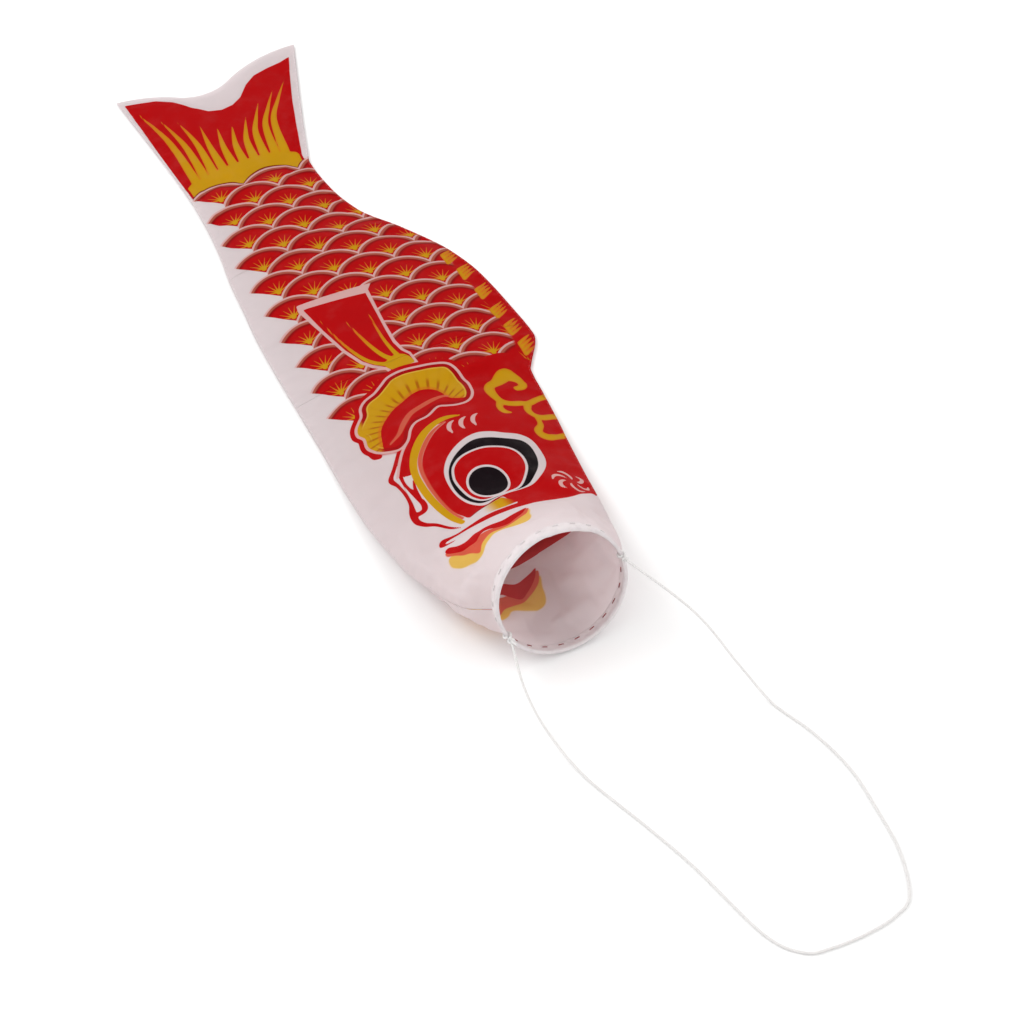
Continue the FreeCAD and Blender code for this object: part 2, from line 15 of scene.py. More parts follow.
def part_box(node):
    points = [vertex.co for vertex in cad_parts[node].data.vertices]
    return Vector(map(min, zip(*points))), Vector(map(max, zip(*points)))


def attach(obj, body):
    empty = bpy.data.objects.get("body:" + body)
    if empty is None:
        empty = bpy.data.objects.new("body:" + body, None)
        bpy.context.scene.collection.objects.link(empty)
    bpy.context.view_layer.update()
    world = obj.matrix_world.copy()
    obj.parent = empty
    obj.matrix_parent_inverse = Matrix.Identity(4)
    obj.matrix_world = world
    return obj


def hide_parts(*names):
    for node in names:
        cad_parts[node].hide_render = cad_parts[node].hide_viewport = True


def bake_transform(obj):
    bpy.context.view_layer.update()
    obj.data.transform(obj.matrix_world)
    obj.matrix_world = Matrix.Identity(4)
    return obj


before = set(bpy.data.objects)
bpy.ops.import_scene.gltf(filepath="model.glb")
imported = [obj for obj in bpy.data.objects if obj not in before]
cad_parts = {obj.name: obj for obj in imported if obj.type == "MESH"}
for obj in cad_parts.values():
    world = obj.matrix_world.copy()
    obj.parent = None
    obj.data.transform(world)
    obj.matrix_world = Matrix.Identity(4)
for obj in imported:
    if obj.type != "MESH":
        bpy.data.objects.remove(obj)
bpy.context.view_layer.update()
scene = bpy.context.scene

MM = 0.001
THREAD_INSET = 0.6          # from the cloth's edge to the seam thread
HEM_BACK = 6.9              # from the hoop's wire to the cloth, along the hoop's axis
LEAN_END = 150.0            # beyond this the pattern's cross lines stand square to the table
SHEET = 0.24                # drawn thickness of the cloth
TAIL_ROOT, TAIL_TIP = 433.0, 550.0
PITCH = 1.1                 # of the rows of the mesh
COLUMNS = 126
REACH = 9.0                 # distances to a printed shape are only worked out this far from it
WIRE_RADIUS = 0.8           # of the hoop
SEAM_PUCKER = 0.32          # height of the waves along the seams
CLEARANCE = 0.44            # least distance between the two flanks
TINY = 1e-12                # keeps a division by a length possible
ACROSS = np.array([1.0, 0, 0])


# ---- small mathematics
def ease(x, start, end):
    t = np.clip((np.asarray(x, float) - start) / (end - start), 0, 1)
    return t * t * (3 - 2 * t)


def smooth_curve(x, y):
    """A function that runs smoothly through the points and never overshoots between them."""
    x, y = np.asarray(x, float), np.asarray(y, float)
    h = np.diff(x)
    slope = np.diff(y) / h
    rate = np.zeros_like(y)
    before, after = slope[:-1], slope[1:]
    same = before * after > 0
    w1, w2 = (2 * h[1:] + h[:-1])[same], (h[1:] + 2 * h[:-1])[same]
    inner = np.zeros_like(before)
    inner[same] = (w1 + w2) / (w1 / before[same] + w2 / after[same])
    rate[1:-1] = inner
    rate[0], rate[-1] = slope[0], slope[-1]

    def at(q):
        q = np.clip(q, x[0], x[-1])
        i = np.clip(np.searchsorted(x, q) - 1, 0, len(x) - 2)
        s = (q - x[i]) / h[i]
        ends = y[i] * (1 + 2 * s) * (1 - s) ** 2 + y[i + 1] * s * s * (3 - 2 * s)
        return ends + h[i] * (rate[i] * s * (1 - s) ** 2 + rate[i + 1] * s * s * (s - 1))

    return at


def through(points, steps=6, closed=False):
    """Points of a Catmull-Rom curve through the given rows; every column is smoothed alike."""
    p = np.asarray(points, float)
    p = np.vstack([p[-1], p, p[0], p[1]]) if closed else np.vstack([2 * p[0] - p[1], p, 2 * p[-1] - p[-2]])
    out = []
    for p0, p1, p2, p3 in zip(p[:-3], p[1:-2], p[2:-1], p[3:]):
        for t in np.arange(steps) / steps:
            out.append(0.5 * (2 * p1 + (p2 - p0) * t + (2 * p0 - 5 * p1 + 4 * p2 - p3) * t * t
                              + (3 * p1 - p0 - 3 * p2 + p3) * t ** 3))
    if not closed:
        out.append(p[-2])
    return np.array(out)


# ---- measures taken from the frame
def box(node):
    return (np.array(p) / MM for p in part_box(node))


def coordinates(mesh):
    co = np.zeros(len(mesh.vertices) * 3, np.float32)
    mesh.vertices.foreach_get("co", co)
    return co.reshape(-1, 3).astype(float) / MM


def vertices(node):
    return coordinates(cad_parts[node].data)


def read_hoop():
    """The hoop's radius, its lean and the height of its lowest point."""
    low, high = box("mouth_hoop")
    span = high - low - 2 * WIRE_RADIUS
    radius = (high[0] - low[0]) / 2 - WIRE_RADIUS
    return radius, math.atan2(span[1], span[2]), low[2] + WIRE_RADIUS


def read_stations():
    """Rows of along, back half width, belly half width, seam height and crown height."""
    rows = []
    for zone in ("head", "front", "rear"):
        back, belly = vertices(f"dorsal_seam_{zone}"), vertices(f"ventral_seam_{zone}")
        cloth = vertices(f"right_flank_{zone}")
        places, counts = np.unique(np.round(belly[:, 1], 1), return_counts=True)
        for along in places[(counts >= 20) & (places > 28)]:
            ring_back, ring_belly, ring = (p[abs(p[:, 1] - along) < 0.06] for p in (back, belly, cloth))
            dorsal = (ring_back[:, 0].min() + ring_back[:, 0].max()) / 2 + THREAD_INSET
            ventral = THREAD_INSET - (ring_belly[:, 0].min() + ring_belly[:, 0].max()) / 2
            seam = (ring_back[:, 2].min() + ring_back[:, 2].max()) / 2
            rows.append((along, dorsal, ventral, seam, ring[:, 2].max()))
    return np.array(rows)


HOOP_RADIUS, HOOP_LEAN, HOOP_LIFT = read_hoop()
AXIS = np.array([0, math.cos(HOOP_LEAN), -math.sin(HOOP_LEAN)])
UPRIGHT = np.array([0, math.sin(HOOP_LEAN), math.cos(HOOP_LEAN)])
HOOP_CENTRE = HOOP_RADIUS * UPRIGHT + np.array([0, 0, HOOP_LIFT])
RIM_CENTRE = HOOP_CENTRE + HEM_BACK * AXIS
RIM_LOW, RIM_TOP = RIM_CENTRE - HOOP_RADIUS * UPRIGHT, RIM_CENTRE + HOOP_RADIUS * UPRIGHT

rows = read_stations()
tail_low, tail_high = box("right_flank_tail")
tail_points = vertices("right_flank_tail")
root = tail_points[abs(tail_points[:, 1] - TAIL_ROOT) < 0.1]
rows = np.vstack([
    rows,
    (TAIL_ROOT, root[:, 0].max(), -root[:, 0].min(), 1.6, 4.6),
    (TAIL_ROOT + 12, root[:, 0].max() + 3.0, 0.4 - root[:, 0].min(), 1.5, 3.4),
    (TAIL_TIP, tail_high[0], -tail_low[0], 1.4, 3.0),
])
seam_start = np.array([[RIM_CENTRE[1], HOOP_RADIUS, HOOP_RADIUS, RIM_CENTRE[2]]])
seam_rows = np.vstack([seam_start, rows[:, :4]])
dorsal_at = smooth_curve(seam_rows[:, 0], seam_rows[:, 1])
ventral_at = smooth_curve(seam_rows[:, 0], seam_rows[:, 2])
seam_at = smooth_curve(seam_rows[:, 0], seam_rows[:, 3])
crown_at = smooth_curve(np.r_[RIM_TOP[1], rows[:, 0]], np.r_[RIM_TOP[2], rows[:, 4]])
B_START = RIM_LOW[1] - RIM_LOW[2] * math.tan(HOOP_LEAN)

along = tail_points[:, 1]
edge = tail_points[(along > TAIL_TIP - 5) | ((along > TAIL_TIP - 30) & (abs(tail_points[:, 0]) < 44))]
across, inverse = np.unique(np.round(edge[:, 0], 1), return_inverse=True)
trailing = np.array([edge[inverse == i, 1].max() for i in range(len(across))])


# ---- the two flanks as curved surfaces
def section(b):
    """Lean, half widths, seam height, crown height and belly height of the cross line at b."""
    lean = HOOP_LEAN * (1 - ease(b, 0, LEAN_END))
    tilt = np.tan(lean)
    at_seam, at_crown = b.copy(), b.copy()
    for _ in range(60):
        at_seam = 0.5 * at_seam + 0.5 * (b + tilt * seam_at(at_seam))
        at_crown = 0.5 * at_crown + 0.5 * (b + tilt * crown_at(at_crown))
    low = RIM_LOW[2] * (1 - ease(b, B_START, 25)) + 0.35
    return (lean, dorsal_at(at_seam), ventral_at(at_seam), seam_at(at_seam) / np.cos(lean),
            crown_at(at_crown) / np.cos(lean), low / np.cos(lean))


def skin(b, share, upper):
    """Points of one flank, and their pattern coordinate a; share runs from belly seam 0 to back seam 1."""
    lean, dorsal, ventral, seam, crown, low = section(b)
    half, middle = (dorsal + ventral) / 2, (dorsal - ventral) / 2
    rise = crown - seam
    turn = 2 * np.arctan2(rise, half)
    pattern = (share - ventral / (ventral + dorsal)) * 2 * turn * (half ** 2 + rise ** 2) / (2 * rise)
    if not upper:
        rise = np.minimum(low - seam, -0.05)
        turn = 2 * np.arctan2(-rise, half)
    bow = (half ** 2 + rise ** 2) / (2 * abs(rise))
    angle = turn * (2 * share - 1)
    lift = np.sign(rise) * bow * (np.cos(angle) - np.cos(turn))
    x = middle + bow * np.sin(angle)
    # both plies lie together in the last millimetres before the seam
    width = turn * bow * 2
    to_seam = np.minimum(share, 1 - share) * width
    welt = ease(b, 12, 40) * np.exp(-(to_seam / 1.8) ** 2)
    lift = lift * (1 - 0.75 * welt) + (0.22 if upper else -0.22)
    height = seam + lift
    return np.stack([x, b + height * np.sin(lean), height * np.cos(lean)], -1), pattern


def grid_faces(rows, columns, close_rows=False, close_columns=False):
    """Numbers of a grid's points, and its faces; it can be closed to a ring either way."""
    index = np.arange(rows * columns).reshape(rows, columns)
    beside, onward = np.roll(index, -1, axis=1), np.roll(index, -1, axis=0)
    quads = np.stack([index, beside, np.roll(beside, -1, axis=0), onward], -1)
    quads = quads[:None if close_rows else -1, :None if close_columns else -1]
    return index, quads.reshape(-1, 4)


def grid_normals(p, upper):
    n = np.cross(np.gradient(p, axis=1), np.gradient(p, axis=0))
    n /= np.linalg.norm(n, axis=-1, keepdims=True) + TINY
    return n if upper else -n


def tail_cut(b, x):
    """b pulled back so that the last row follows the tail's trailing edge."""
    share = np.clip((b - TAIL_ROOT) / (TAIL_TIP - TAIL_ROOT), 0, None)
    return b - share * (TAIL_TIP - np.interp(x, across, trailing)) * (b > TAIL_ROOT)


# ---- cloth simulation of the whole tube
SIM_ROWS, SIM_COLUMNS = 78, 21
SIM_B = np.linspace(B_START + 1, TAIL_TIP - 4, SIM_ROWS)
SIM_SHARE = np.linspace(0, 1, SIM_COLUMNS)
SIM_CAP = np.interp(SIM_B, [60, 190], [2.0, 0.8])[:, None, None]   # most movement of each row
SIM_FRAMES = 20
CLOTH_SETTINGS = {
    "quality": 6, "mass": 0.15, "tension_stiffness": 12, "compression_stiffness": 12, "shear_stiffness": 4,
    "bending_stiffness": 0.05, "shrink_min": -0.012, "vertex_group_mass": "held", "use_pressure": True,
    "uniform_pressure_force": 0.6}


def settle():
    """Displacements of the upper and lower flank after the sewn tube has been puffed by a breath of wind."""
    flat = np.zeros((2, SIM_ROWS, SIM_COLUMNS, 3))
    bb, ss = np.meshgrid(SIM_B, SIM_SHARE, indexing="ij")
    up, _ = skin(bb.ravel(), ss.ravel(), True)
    down, _ = skin(bb.ravel(), ss.ravel(), False)
    up, down = (p.reshape(SIM_ROWS, SIM_COLUMNS, 3) for p in (up, down))
    loop = np.concatenate([up, down[:, -2:0:-1]], axis=1)
    around = loop.shape[1]
    mesh = bpy.data.meshes.new("settling")
    index, quads = grid_faces(SIM_ROWS, around, close_columns=True)
    mesh.from_pydata((loop.reshape(-1, 3) * MM).tolist(), [], quads.tolist())
    tube = bpy.data.objects.new("settling", mesh)
    scene.collection.objects.link(tube)
    held = set(index[:2].ravel()) | set(index[-1]) | set(index[:, 0]) | set(index[:, SIM_COLUMNS - 1])
    group = tube.vertex_groups.new(name="held")
    group.add([int(i) for i in held], 1.0, "REPLACE")
    cloth = tube.modifiers.new("cloth", "CLOTH")
    for setting, value in CLOTH_SETTINGS.items():
        setattr(cloth.settings, setting, value)
    cloth.settings.effector_weights.gravity = 0
    cloth.collision_settings.use_collision = False
    for step in range(1, SIM_FRAMES + 1):
        scene.frame_set(step)
    final = tube.evaluated_get(bpy.context.evaluated_depsgraph_get()).to_mesh()
    moved = coordinates(final).reshape(loop.shape) - loop
    scene.frame_set(1)
    bpy.data.objects.remove(tube)
    moved = np.nan_to_num(moved)
    size = np.linalg.norm(moved, axis=-1, keepdims=True)
    moved *= SIM_CAP * np.tanh(size / SIM_CAP) / np.maximum(size, 1e-9)
    flat[0] = moved[:, :SIM_COLUMNS]
    flat[1, :, 0], flat[1, :, -1] = moved[:, 0], moved[:, SIM_COLUMNS - 1]
    flat[1, :, 1:-1] = moved[:, :SIM_COLUMNS - 1:-1]
    return flat


def spread(values, old, new):
    """Smooth interpolation of rows given at the places old to the places new."""
    i = np.clip(np.searchsorted(old, new) - 1, 0, len(old) - 2)
    t = np.clip((new - old[i]) / (old[i + 1] - old[i]), 0, 1)
    before, after = np.maximum(i - 1, 0), np.minimum(i + 2, len(old) - 1)
    weight = np.zeros((len(new), len(old)))
    line = np.arange(len(new))
    for place, w in ((before, -t + 2 * t ** 2 - t ** 3), (i, 2 - 5 * t ** 2 + 3 * t ** 3),
                     (i + 1, t + 4 * t ** 2 - 3 * t ** 3), (after, t ** 3 - t ** 2)):
        np.add.at(weight, (line, place), w / 2)
    return np.tensordot(weight, values, axes=(1, 0))


moved_by_wind = settle()
chance = np.random.default_rng(7)
PUCKER_PHASE = np.cumsum(chance.uniform(0.55, 1.05, 700))

# soft folds of the snout: start (a, b), end (a, b), depth and half width
CREASES = [
    ((-57, 12), (-55, 66), 1.3, 3.2), ((-48, 10), (-57, 88), 1.2, 3.0), ((-38, 9), (-50, 52), 0.9, 2.6),
    ((-60, 40), (-52, 120), 0.6, 3.6), ((50, 12), (46, 60), 0.6, 3.0), ((26, 10), (30, 44), 0.5, 2.6),
    ((-12, 9), (-16, 30), 0.5, 2.4), ((8, 9), (6, 28), 0.4, 2.2), ((60, 120), (48, 205), 0.5, 4.0),
    ((-60, 150), (-47, 240), 0.5, 4.5), ((-58, 262), (-40, 330), 0.4, 4.5),
]


def finish_surface(points, a, b, share, upper):
    """The settled shape with the seams' puckers and the snout's folds."""
    side = 0 if upper else 1
    rows_moved = spread(moved_by_wind[side], SIM_B, b[:, 0])
    moved = np.swapaxes(spread(np.swapaxes(rows_moved, 0, 1), SIM_SHARE, share[0]), 0, 1)
    normals = grid_normals(points, upper)
    points = points + (moved * normals).sum(-1, keepdims=True) * normals
    width = np.linalg.norm(np.diff(points, axis=1), axis=-1).sum(1, keepdims=True)
    bump = np.zeros_like(a)
    for near, shift in ((share, 0), (1 - share, 90)):
        phase = np.interp(b, np.arange(600), PUCKER_PHASE[shift:shift + 600])
        bump += SEAM_PUCKER * np.sin(phase) * np.exp(-near * width / 6.0) * (1 - np.exp(-near * width / 1.2))
    for (a0, b0), (a1, b1), depth, spread_by in CREASES:
        run = np.array([a1 - a0, b1 - b0], float)
        t = ((a - a0) * run[0] + (b - b0) * run[1]) / (run @ run)
        off = ((a - a0) * run[1] - (b - b0) * run[0]) / np.linalg.norm(run) + 2.5 * np.sin(3 * t)
        shape = np.exp(-(off / spread_by) ** 2) - 0.5 * np.exp(-((off - 1.7 * spread_by) / spread_by) ** 2)
        bump += depth * shape * ease(t, -0.15, 0.25) * (1 - ease(t, 0.55, 1.1))
    bump *= ease(b, B_START, B_START + 10) * (1 - ease(b, 536, 548) * 0.7)
    return points + normals * bump[..., None]


# ---- the print: shapes in pattern coordinates
def near_points(a, b, path, reach):
    """Which points of the pattern may lie within reach of a path."""
    near = (a > path[:, 0].min() - reach) & (a < path[:, 0].max() + reach)
    return near & (b > path[:, 1].min() - reach) & (b < path[:, 1].max() + reach)


def to_segment(x, y, x0, y0, x1, y1):
    """Distance to the line between two points, and the share of the way along it."""
    dx, dy = x1 - x0, y1 - y0
    t = np.clip(((x - x0) * dx + (y - y0) * dy) / (dx * dx + dy * dy + TINY), 0, 1)
    return np.hypot(x - x0 - t * dx, y - y0 - t * dy), t


def inside_distance(a, b, outline, smooth=True):
    """Distance to a closed outline, negative inside it."""
    p = through(outline, 5, True) if smooth else outline
    out = np.full(a.shape, REACH)
    near = near_points(a, b, p, REACH)
    x, y = a[near], b[near]
    best, inside = np.full(x.shape, 1e9), np.zeros(x.shape, bool)
    for (x0, y0), (x1, y1) in zip(p, np.roll(p, -1, axis=0)):
        best = np.minimum(best, to_segment(x, y, x0, y0, x1, y1)[0])
        if y1 != y0:
            inside ^= ((y0 > y) != (y1 > y)) & (x < (x1 - x0) * (y - y0) / (y1 - y0) + x0)
    out[near] = np.clip(np.where(inside, -best, best), -REACH, REACH)
    return out


def stroke_distance(a, b, path):
    """Distance to a brush stroke through (a, b, half width), negative inside it."""
    p = through(path, 6)
    out = np.full(a.shape, REACH)
    near = near_points(a, b, p, REACH + p[:, 2].max())
    x, y = a[near], b[near]
    best = np.full(x.shape, REACH)
    for (x0, y0, w0), (x1, y1, w1) in zip(p[:-1], p[1:]):
        distance, t = to_segment(x, y, x0, y0, x1, y1)
        best = np.minimum(best, distance - w0 - t * (w1 - w0))
    out[near] = best
    return out


# closed outlines of the print; the numbers are a and b of one corner after another
OUTLINES = {
    # the plain face, then the cheek below it
    "face": [[64, 80, 57, 77.5, 50, 74.5, 40, 71, 30, 68.8, 20, 68, 10, 68, 5, 70, 7, 74.5, 4, 80, 2, 85.2,
        -4, 83.6, -12, 81.6, -20, 79, -22.5, 84, -25.5, 93, -27.2, 103, -27.6, 113, -27.2, 123, -25.5, 133,
        -21.5, 142.5, -15, 151, -7, 158.5, 1, 163, 10, 168, 20, 170, 26, 178, 30, 192, 29.5, 208, 36, 211.5,
        44, 213.5, 51, 214.5, 58, 214.5, 66, 211.5, 74, 206, 92, 200, 95, 150, 92, 84],
        [-37, 139.5, -34, 149, -28, 158, -21, 164, -16, 171, -10, 175, 0, 177, 8, 177, 20, 176, 31, 181,
        30, 166, 12, 164, 2, 164, -8, 163, -17, 156, -25, 147, -29.5, 138, -32, 135]],
    "gill": [[-22, 162, -17, 170, -12, 174.3, -4, 175.5, 4, 180.5, 9, 178.5, 14, 176.5, 20, 176.6,
        25, 180.5, 28.3, 188, 29.4, 198, 28.8, 209, 26, 217, 19, 220.5, 10, 222.6, 0, 224.4, -9, 223.4,
        -15, 219.5, -21, 215.6, -28, 213.2, -32.5, 209, -34.5, 203, -38, 199, -41.5, 194.5, -42.8, 189,
        -41.2, 183, -42.6, 177, -41.3, 171, -38.6, 165.5, -33, 160.5, -28, 158.6]],
    "gill_core": [[-35, 163, -33.5, 174, -30, 183, -25, 189, -18, 195, -11, 199.5, -4, 203.8, 4, 204.8,
        10, 201.5, 12.5, 195, 12.5, 189, 15, 184.5, 21, 181.5, 27, 184, 27, 176, 10, 174, 4, 176, -12, 170,
        -22, 158]],
    "eye_white": [[-18.6, 108, -17.5, 121, -13.5, 130, -6, 138, 3, 143.5, 12, 145.6, 20, 143.6, 28, 139.6,
        37, 136.4, 41.2, 132.5, 42.3, 125, 41, 115, 37.5, 106, 31, 96.5, 24, 90.5, 15, 87.8, 6, 87,
        -2, 85.4, -8, 83.2, -12.5, 86.5, -16.6, 95]],
    "eye_black": [[-17, 110, -15.7, 119, -12, 127, -5, 134, 3, 138.8, 10, 140.4, 18, 138.3, 26, 134.3,
        34, 131.5, 37, 126, 36.3, 117, 33, 107, 27.5, 98, 21, 91.4, 14, 88.6, 6, 87.6, -2, 86.4, -7, 86,
        -11, 88, -14.6, 94.5, -16.5, 102]],
    "eye_red": [[-14.7, 112, -13.8, 119, -10.5, 126, -3, 131.3, 8, 132.6, 18, 129.5, 25, 124, 27.5, 116,
        26.3, 107, 22.3, 98.5, 16, 91, 10, 88.2, 0, 87.2, -6, 87.4, -10.3, 91, -13.4, 99]],
    "lid": [[-23, 77.5, -15, 80.6, -6, 82.8, 1.5, 85, 5, 80, 8.5, 75, 0, 73.5, -12, 73.5, -23, 75]],
    "lip_red": [[7, 61, 3, 59, -2, 57, -9, 54.8, -15, 57, -20, 58, -25, 55.5, -29, 52, -33, 51, -37, 54,
        -40, 59.5, -42, 60.5, -44, 58.5, -42, 52, -38, 46, -34, 43.5, -30, 43.8, -25, 47.5, -20, 50,
        -15, 46.5, -10, 44, -5, 47, 0, 51, 4, 55.5]],
    "lip_salmon": [[6.5, 59, -10, 50, -32, 48, -43, 58, -45, 54, -42, 48, -37, 38.5, -33, 31, -29, 33.5,
        -24, 38, -18, 39.8, -11, 41, -5, 44, 1, 48, 5, 52.5]],
    "lip_yellow": [[6, 55, -10, 45, -32, 42, -44, 51, -48, 44, -46, 37.5, -41, 32, -37, 28.5, -31, 28,
        -25, 31.5, -20, 35.5, -12, 34, -5, 33, 0, 35, 2.8, 40, 4.3, 47]],
    "fin_edge": [[-32, 308.5, 14, 303.5, 10.5, 299, 9.3, 285, 7.8, 265, 7.3, 250, 8.5, 241, 11, 236,
        11.5, 226, -6, 225, -7.5, 230, -13.5, 235.5, -18, 242.5, -23, 257, -28, 280, -33, 303]],
    "fin_red": [[-29.8, 303.3, 8, 296.8, 7, 280, 5.8, 262, 5.3, 249, 6.8, 240.5, 9.5, 235, 10, 227.5,
        -4.2, 226.5, -6, 231.5, -12, 237.3, -16.3, 243.8, -21.3, 258, -26, 280]],
    "fin_gold": [[-3, 227, 3, 225.5, 9, 226.5, 9.6, 231, 7, 236.5, 2, 238.5, -3.5, 237, -6.5, 232.5]],
    "band": [[69, 213, 70, 225, 70.6, 245, 69.4, 265, 68, 285, 66.5, 300, 66, 309, 70, 315.5, 78, 318,
        105, 318, 105, 202, 74, 206]],
    "tail_red": [[-57.5, 544.5, -50, 542, -38, 538, -29, 531, -20, 519, -12, 510, -4, 507, 4, 508.3,
        11, 513, 19, 523.5, 27, 530, 38, 533.5, 48, 535.5, 54.8, 538, 48, 519, 40, 495, 32, 467, 25.5, 443,
        25, 424, -50, 424, -51.5, 445, -53.8, 480, -56, 520]],
    "tail_gold": [[-46, 450, 18, 450, 18.5, 424, -45, 424]],
}
SHARP = {"fin_edge", "fin_red", "tail_red", "band", "lid"}     # outlines with straight sides
BAND_MARKS = [(77.2, 218), (76, 235), (75, 252.5), (74, 272), (71.8, 293), (68.6, 310)]
# tail rays: foot a, tip (a, b), sideways bow of the middle
TAIL_RAYS = [(-43.2, (-53, 533), 1.5), (-37, (-43, 518), 1.5), (-30.8, (-33.6, 510), 1.6),
             (-24, (-22.2, 499), -0.4), (-17, (-13, 492), -0.6), (-10, (-3.6, 490), -0.8),
             (-3, (7, 493), -1), (4, (19.6, 503), -1.6), (11, (32.6, 511), -2), (17, (43, 517), -2.4)]


def cloud():
    """Plain curls on the brow."""
    return [
        [(54, 182, 1.8), (59, 184, 2.6), (59.5, 190, 3.2), (54, 197, 5.2), (46, 192, 4), (39.5, 188, 3.2),
         (37, 180, 2.9), (39.5, 172, 2.7), (47, 168.4, 2.5), (56, 168.6, 2.3), (64, 172, 2.2),
         (76, 176, 2.2)],
        [(38.6, 171, 2.2), (36.2, 166, 2), (37, 161, 2), (40, 159, 0.8)],
        [(55, 167, 2.4), (52.2, 161, 2.3), (53.2, 155, 2.4), (60, 153.6, 2.5), (76, 158, 2.3)],
        [(54, 154, 1.8), (54, 147, 1.8), (49, 139.6, 2.7), (54, 134.6, 2.7), (63, 137, 2.2), (76, 142, 2.2)],
    ]


# one blade: distance from the whorl's middle, turn in degrees, half width
BLADE = [(3.4, 0, 0.3), (6, 5, 0.9), (8.6, 16, 1.15), (10.6, 33, 1.05), (11.4, 52, 0.4)]


def whorl(middle_a, middle_b, blades=6):
    """A ring of comma-shaped blades."""
    return [[(middle_a + radius * math.cos(math.radians(turn + 360 * k / blades)),
              middle_b + radius * math.sin(math.radians(turn + 360 * k / blades)), half)
             for radius, turn, half in BLADE] for k in range(blades)]


def band_marks():
    paths = []
    for a0, b0 in BAND_MARKS:
        for k in range(4):
            foot = b0 - 7.6 + 2.9 * k
            paths.append([(a0 - 4.6, foot, 1.3), (a0 + 0.4, foot + 3.2, 0.9), (a0 + 5.2, foot + 6.3, 0.2)])
        paths.append([(a0 - 4.4, b0 - 7.4, 1.3), (a0 - 4.8, b0 + 0.8, 1.3)])
    return paths


def tail_rays():
    paths = []
    for foot, (tip_a, tip_b), bow in TAIL_RAYS:
        mid_a, mid_b = 0.72 * foot + 0.28 * tip_a + bow, 0.5 * (446 + tip_b)
        paths.append([(foot, 444, 3.3), (foot, 452, 3.0), (mid_a, mid_b, 2.0),
                      ((mid_a + tip_a) / 2 + bow * 0.4, 0.5 * (mid_b + tip_b), 1.15), (tip_a, tip_b, 0.05)])
    return paths


def brow_hooks():
    return [[(1 + 7.2 * k, 152, 0.5), (0.8 + 7.2 * k, 156.5, 1.2), (2.8 + 7.2 * k, 160.6, 1.2),
             (6 + 7.2 * k, 162.6, 0.4)] for k in range(3)]


# brush strokes of the print; the numbers are a, b and half width of one point after another
STROKES = {
    # the barbel and its branches, the line over the lip, the tip below the gill
    "face": [[-30, 157, 1.2, -36, 149, 1.3, -42.5, 141.5, 1.7, -41.3, 134, 1, -40.6, 124, 1,
        -41.2, 115, 1.2, -43.3, 107.5, 2.2, -44, 100, 1.8, -42, 94.5, 1.4, -37, 88, 1.1, -32, 80, 0.9,
        -27.5, 74.5, 0.4],
        [-37, 139.5, 1.2, -37.8, 132, 0.9, -37.2, 124, 1, -36.2, 116, 1.3, -35.4, 109.5, 1.6,
        -36.6, 104.6, 1.9, -40, 104, 1.8, -43, 106, 1.6],
        [-35.6, 114, 1.2, -34.6, 123, 1, -32.4, 130.5, 0.5],
        [12, 70.5, 3, 0, 69.8, 3, -10, 69.2, 2.9, -18, 69.2, 2.5, -25, 69.6, 1.7, -31, 70, 1.3,
        -36, 71.6, 1.5, -40, 72.3, 2, -41.8, 69.6, 1.8, -40, 66.4, 1.4, -37, 64.6, 0.9, -35, 64, 0.3],
        [-42.6, 170, 2.2, -41.8, 165, 2.3, -40, 162.6, 1.7]],
    "cheek_white": [[-38.8, 139.5, 0.9, -34, 147.6, 0.9, -28.2, 155.8, 0.9, -21.6, 162.4, 0.9]],
    "crescent": [[-25, 78.5, 1.6, -27.8, 88, 2, -29.8, 98, 2.1, -30.9, 110, 2.1, -31, 122, 2.1,
        -29.9, 134, 2.1, -26.5, 144, 2.3, -20.5, 153, 2.6, -12, 161.5, 2.5, -3, 166.3, 2.1, 4, 167.3, 1.7,
        11, 165.5, 0.5]],
    "crescent_edge": [[-23.5, 82, 1, -26.6, 96, 1, -27.6, 110, 1, -27.4, 122, 1.1, -26, 134, 1.2,
        -22.5, 143.5, 1.4, -16, 152, 1.5, -8, 159.5, 1.3, 1, 164, 0.8]],
    "gill_line": [[-31, 167, 0.7, -24, 171, 1.3, -18, 178, 1.8, -11, 184.5, 1.9, -3, 187.5, 2, 5, 190, 2,
        11, 190, 1.4, 14, 187, 0.5]],
    "cloud": cloud(),
    "marks": brow_hooks() + whorl(45.5, 88),
    "fin_gold": [[-4, 233, 1.7, -10.5, 238.5, 1.3, -15.5, 247, 1.1, -20, 262, 0.8, -23, 278, 0.5,
        -25, 292, 0.05],
        [1, 234, 1.8, -4, 242, 1.4, -7.5, 254, 1.1, -10, 268, 0.7, -12.5, 284, 0.05],
        [4, 234, 1.7, 2.4, 244, 1.2, 1.6, 256, 0.9, 2, 270, 0.6, 2.8, 284, 0.05]],
    "band_gold": band_marks(),
    "tail_gold": tail_rays(),
}
SHAPES = sorted(OUTLINES | STROKES)


def print_fields(a, b):
    """Every printed shape's distance at each point of the pattern."""
    fields = {}
    for name in SHAPES:
        best = np.full(a.shape, REACH)
        for outline in OUTLINES.get(name, []):
            best = np.minimum(best, inside_distance(a, b, np.reshape(outline, (-1, 2)), name not in SHARP))
        for path in STROKES.get(name, []):
            best = np.minimum(best, stroke_distance(a, b, np.reshape(path, (-1, 3))))
        fields[name] = best
    return fields


# ---- shader building
def linear(red, green, blue):
    """An sRGB colour of 0 to 255 as the renderer's linear colour."""
    def channel(value):
        value /= 255
        return value / 12.92 if value <= 0.04045 else ((value + 0.055) / 1.055) ** 2.4
    return (channel(red), channel(green), channel(blue), 1)


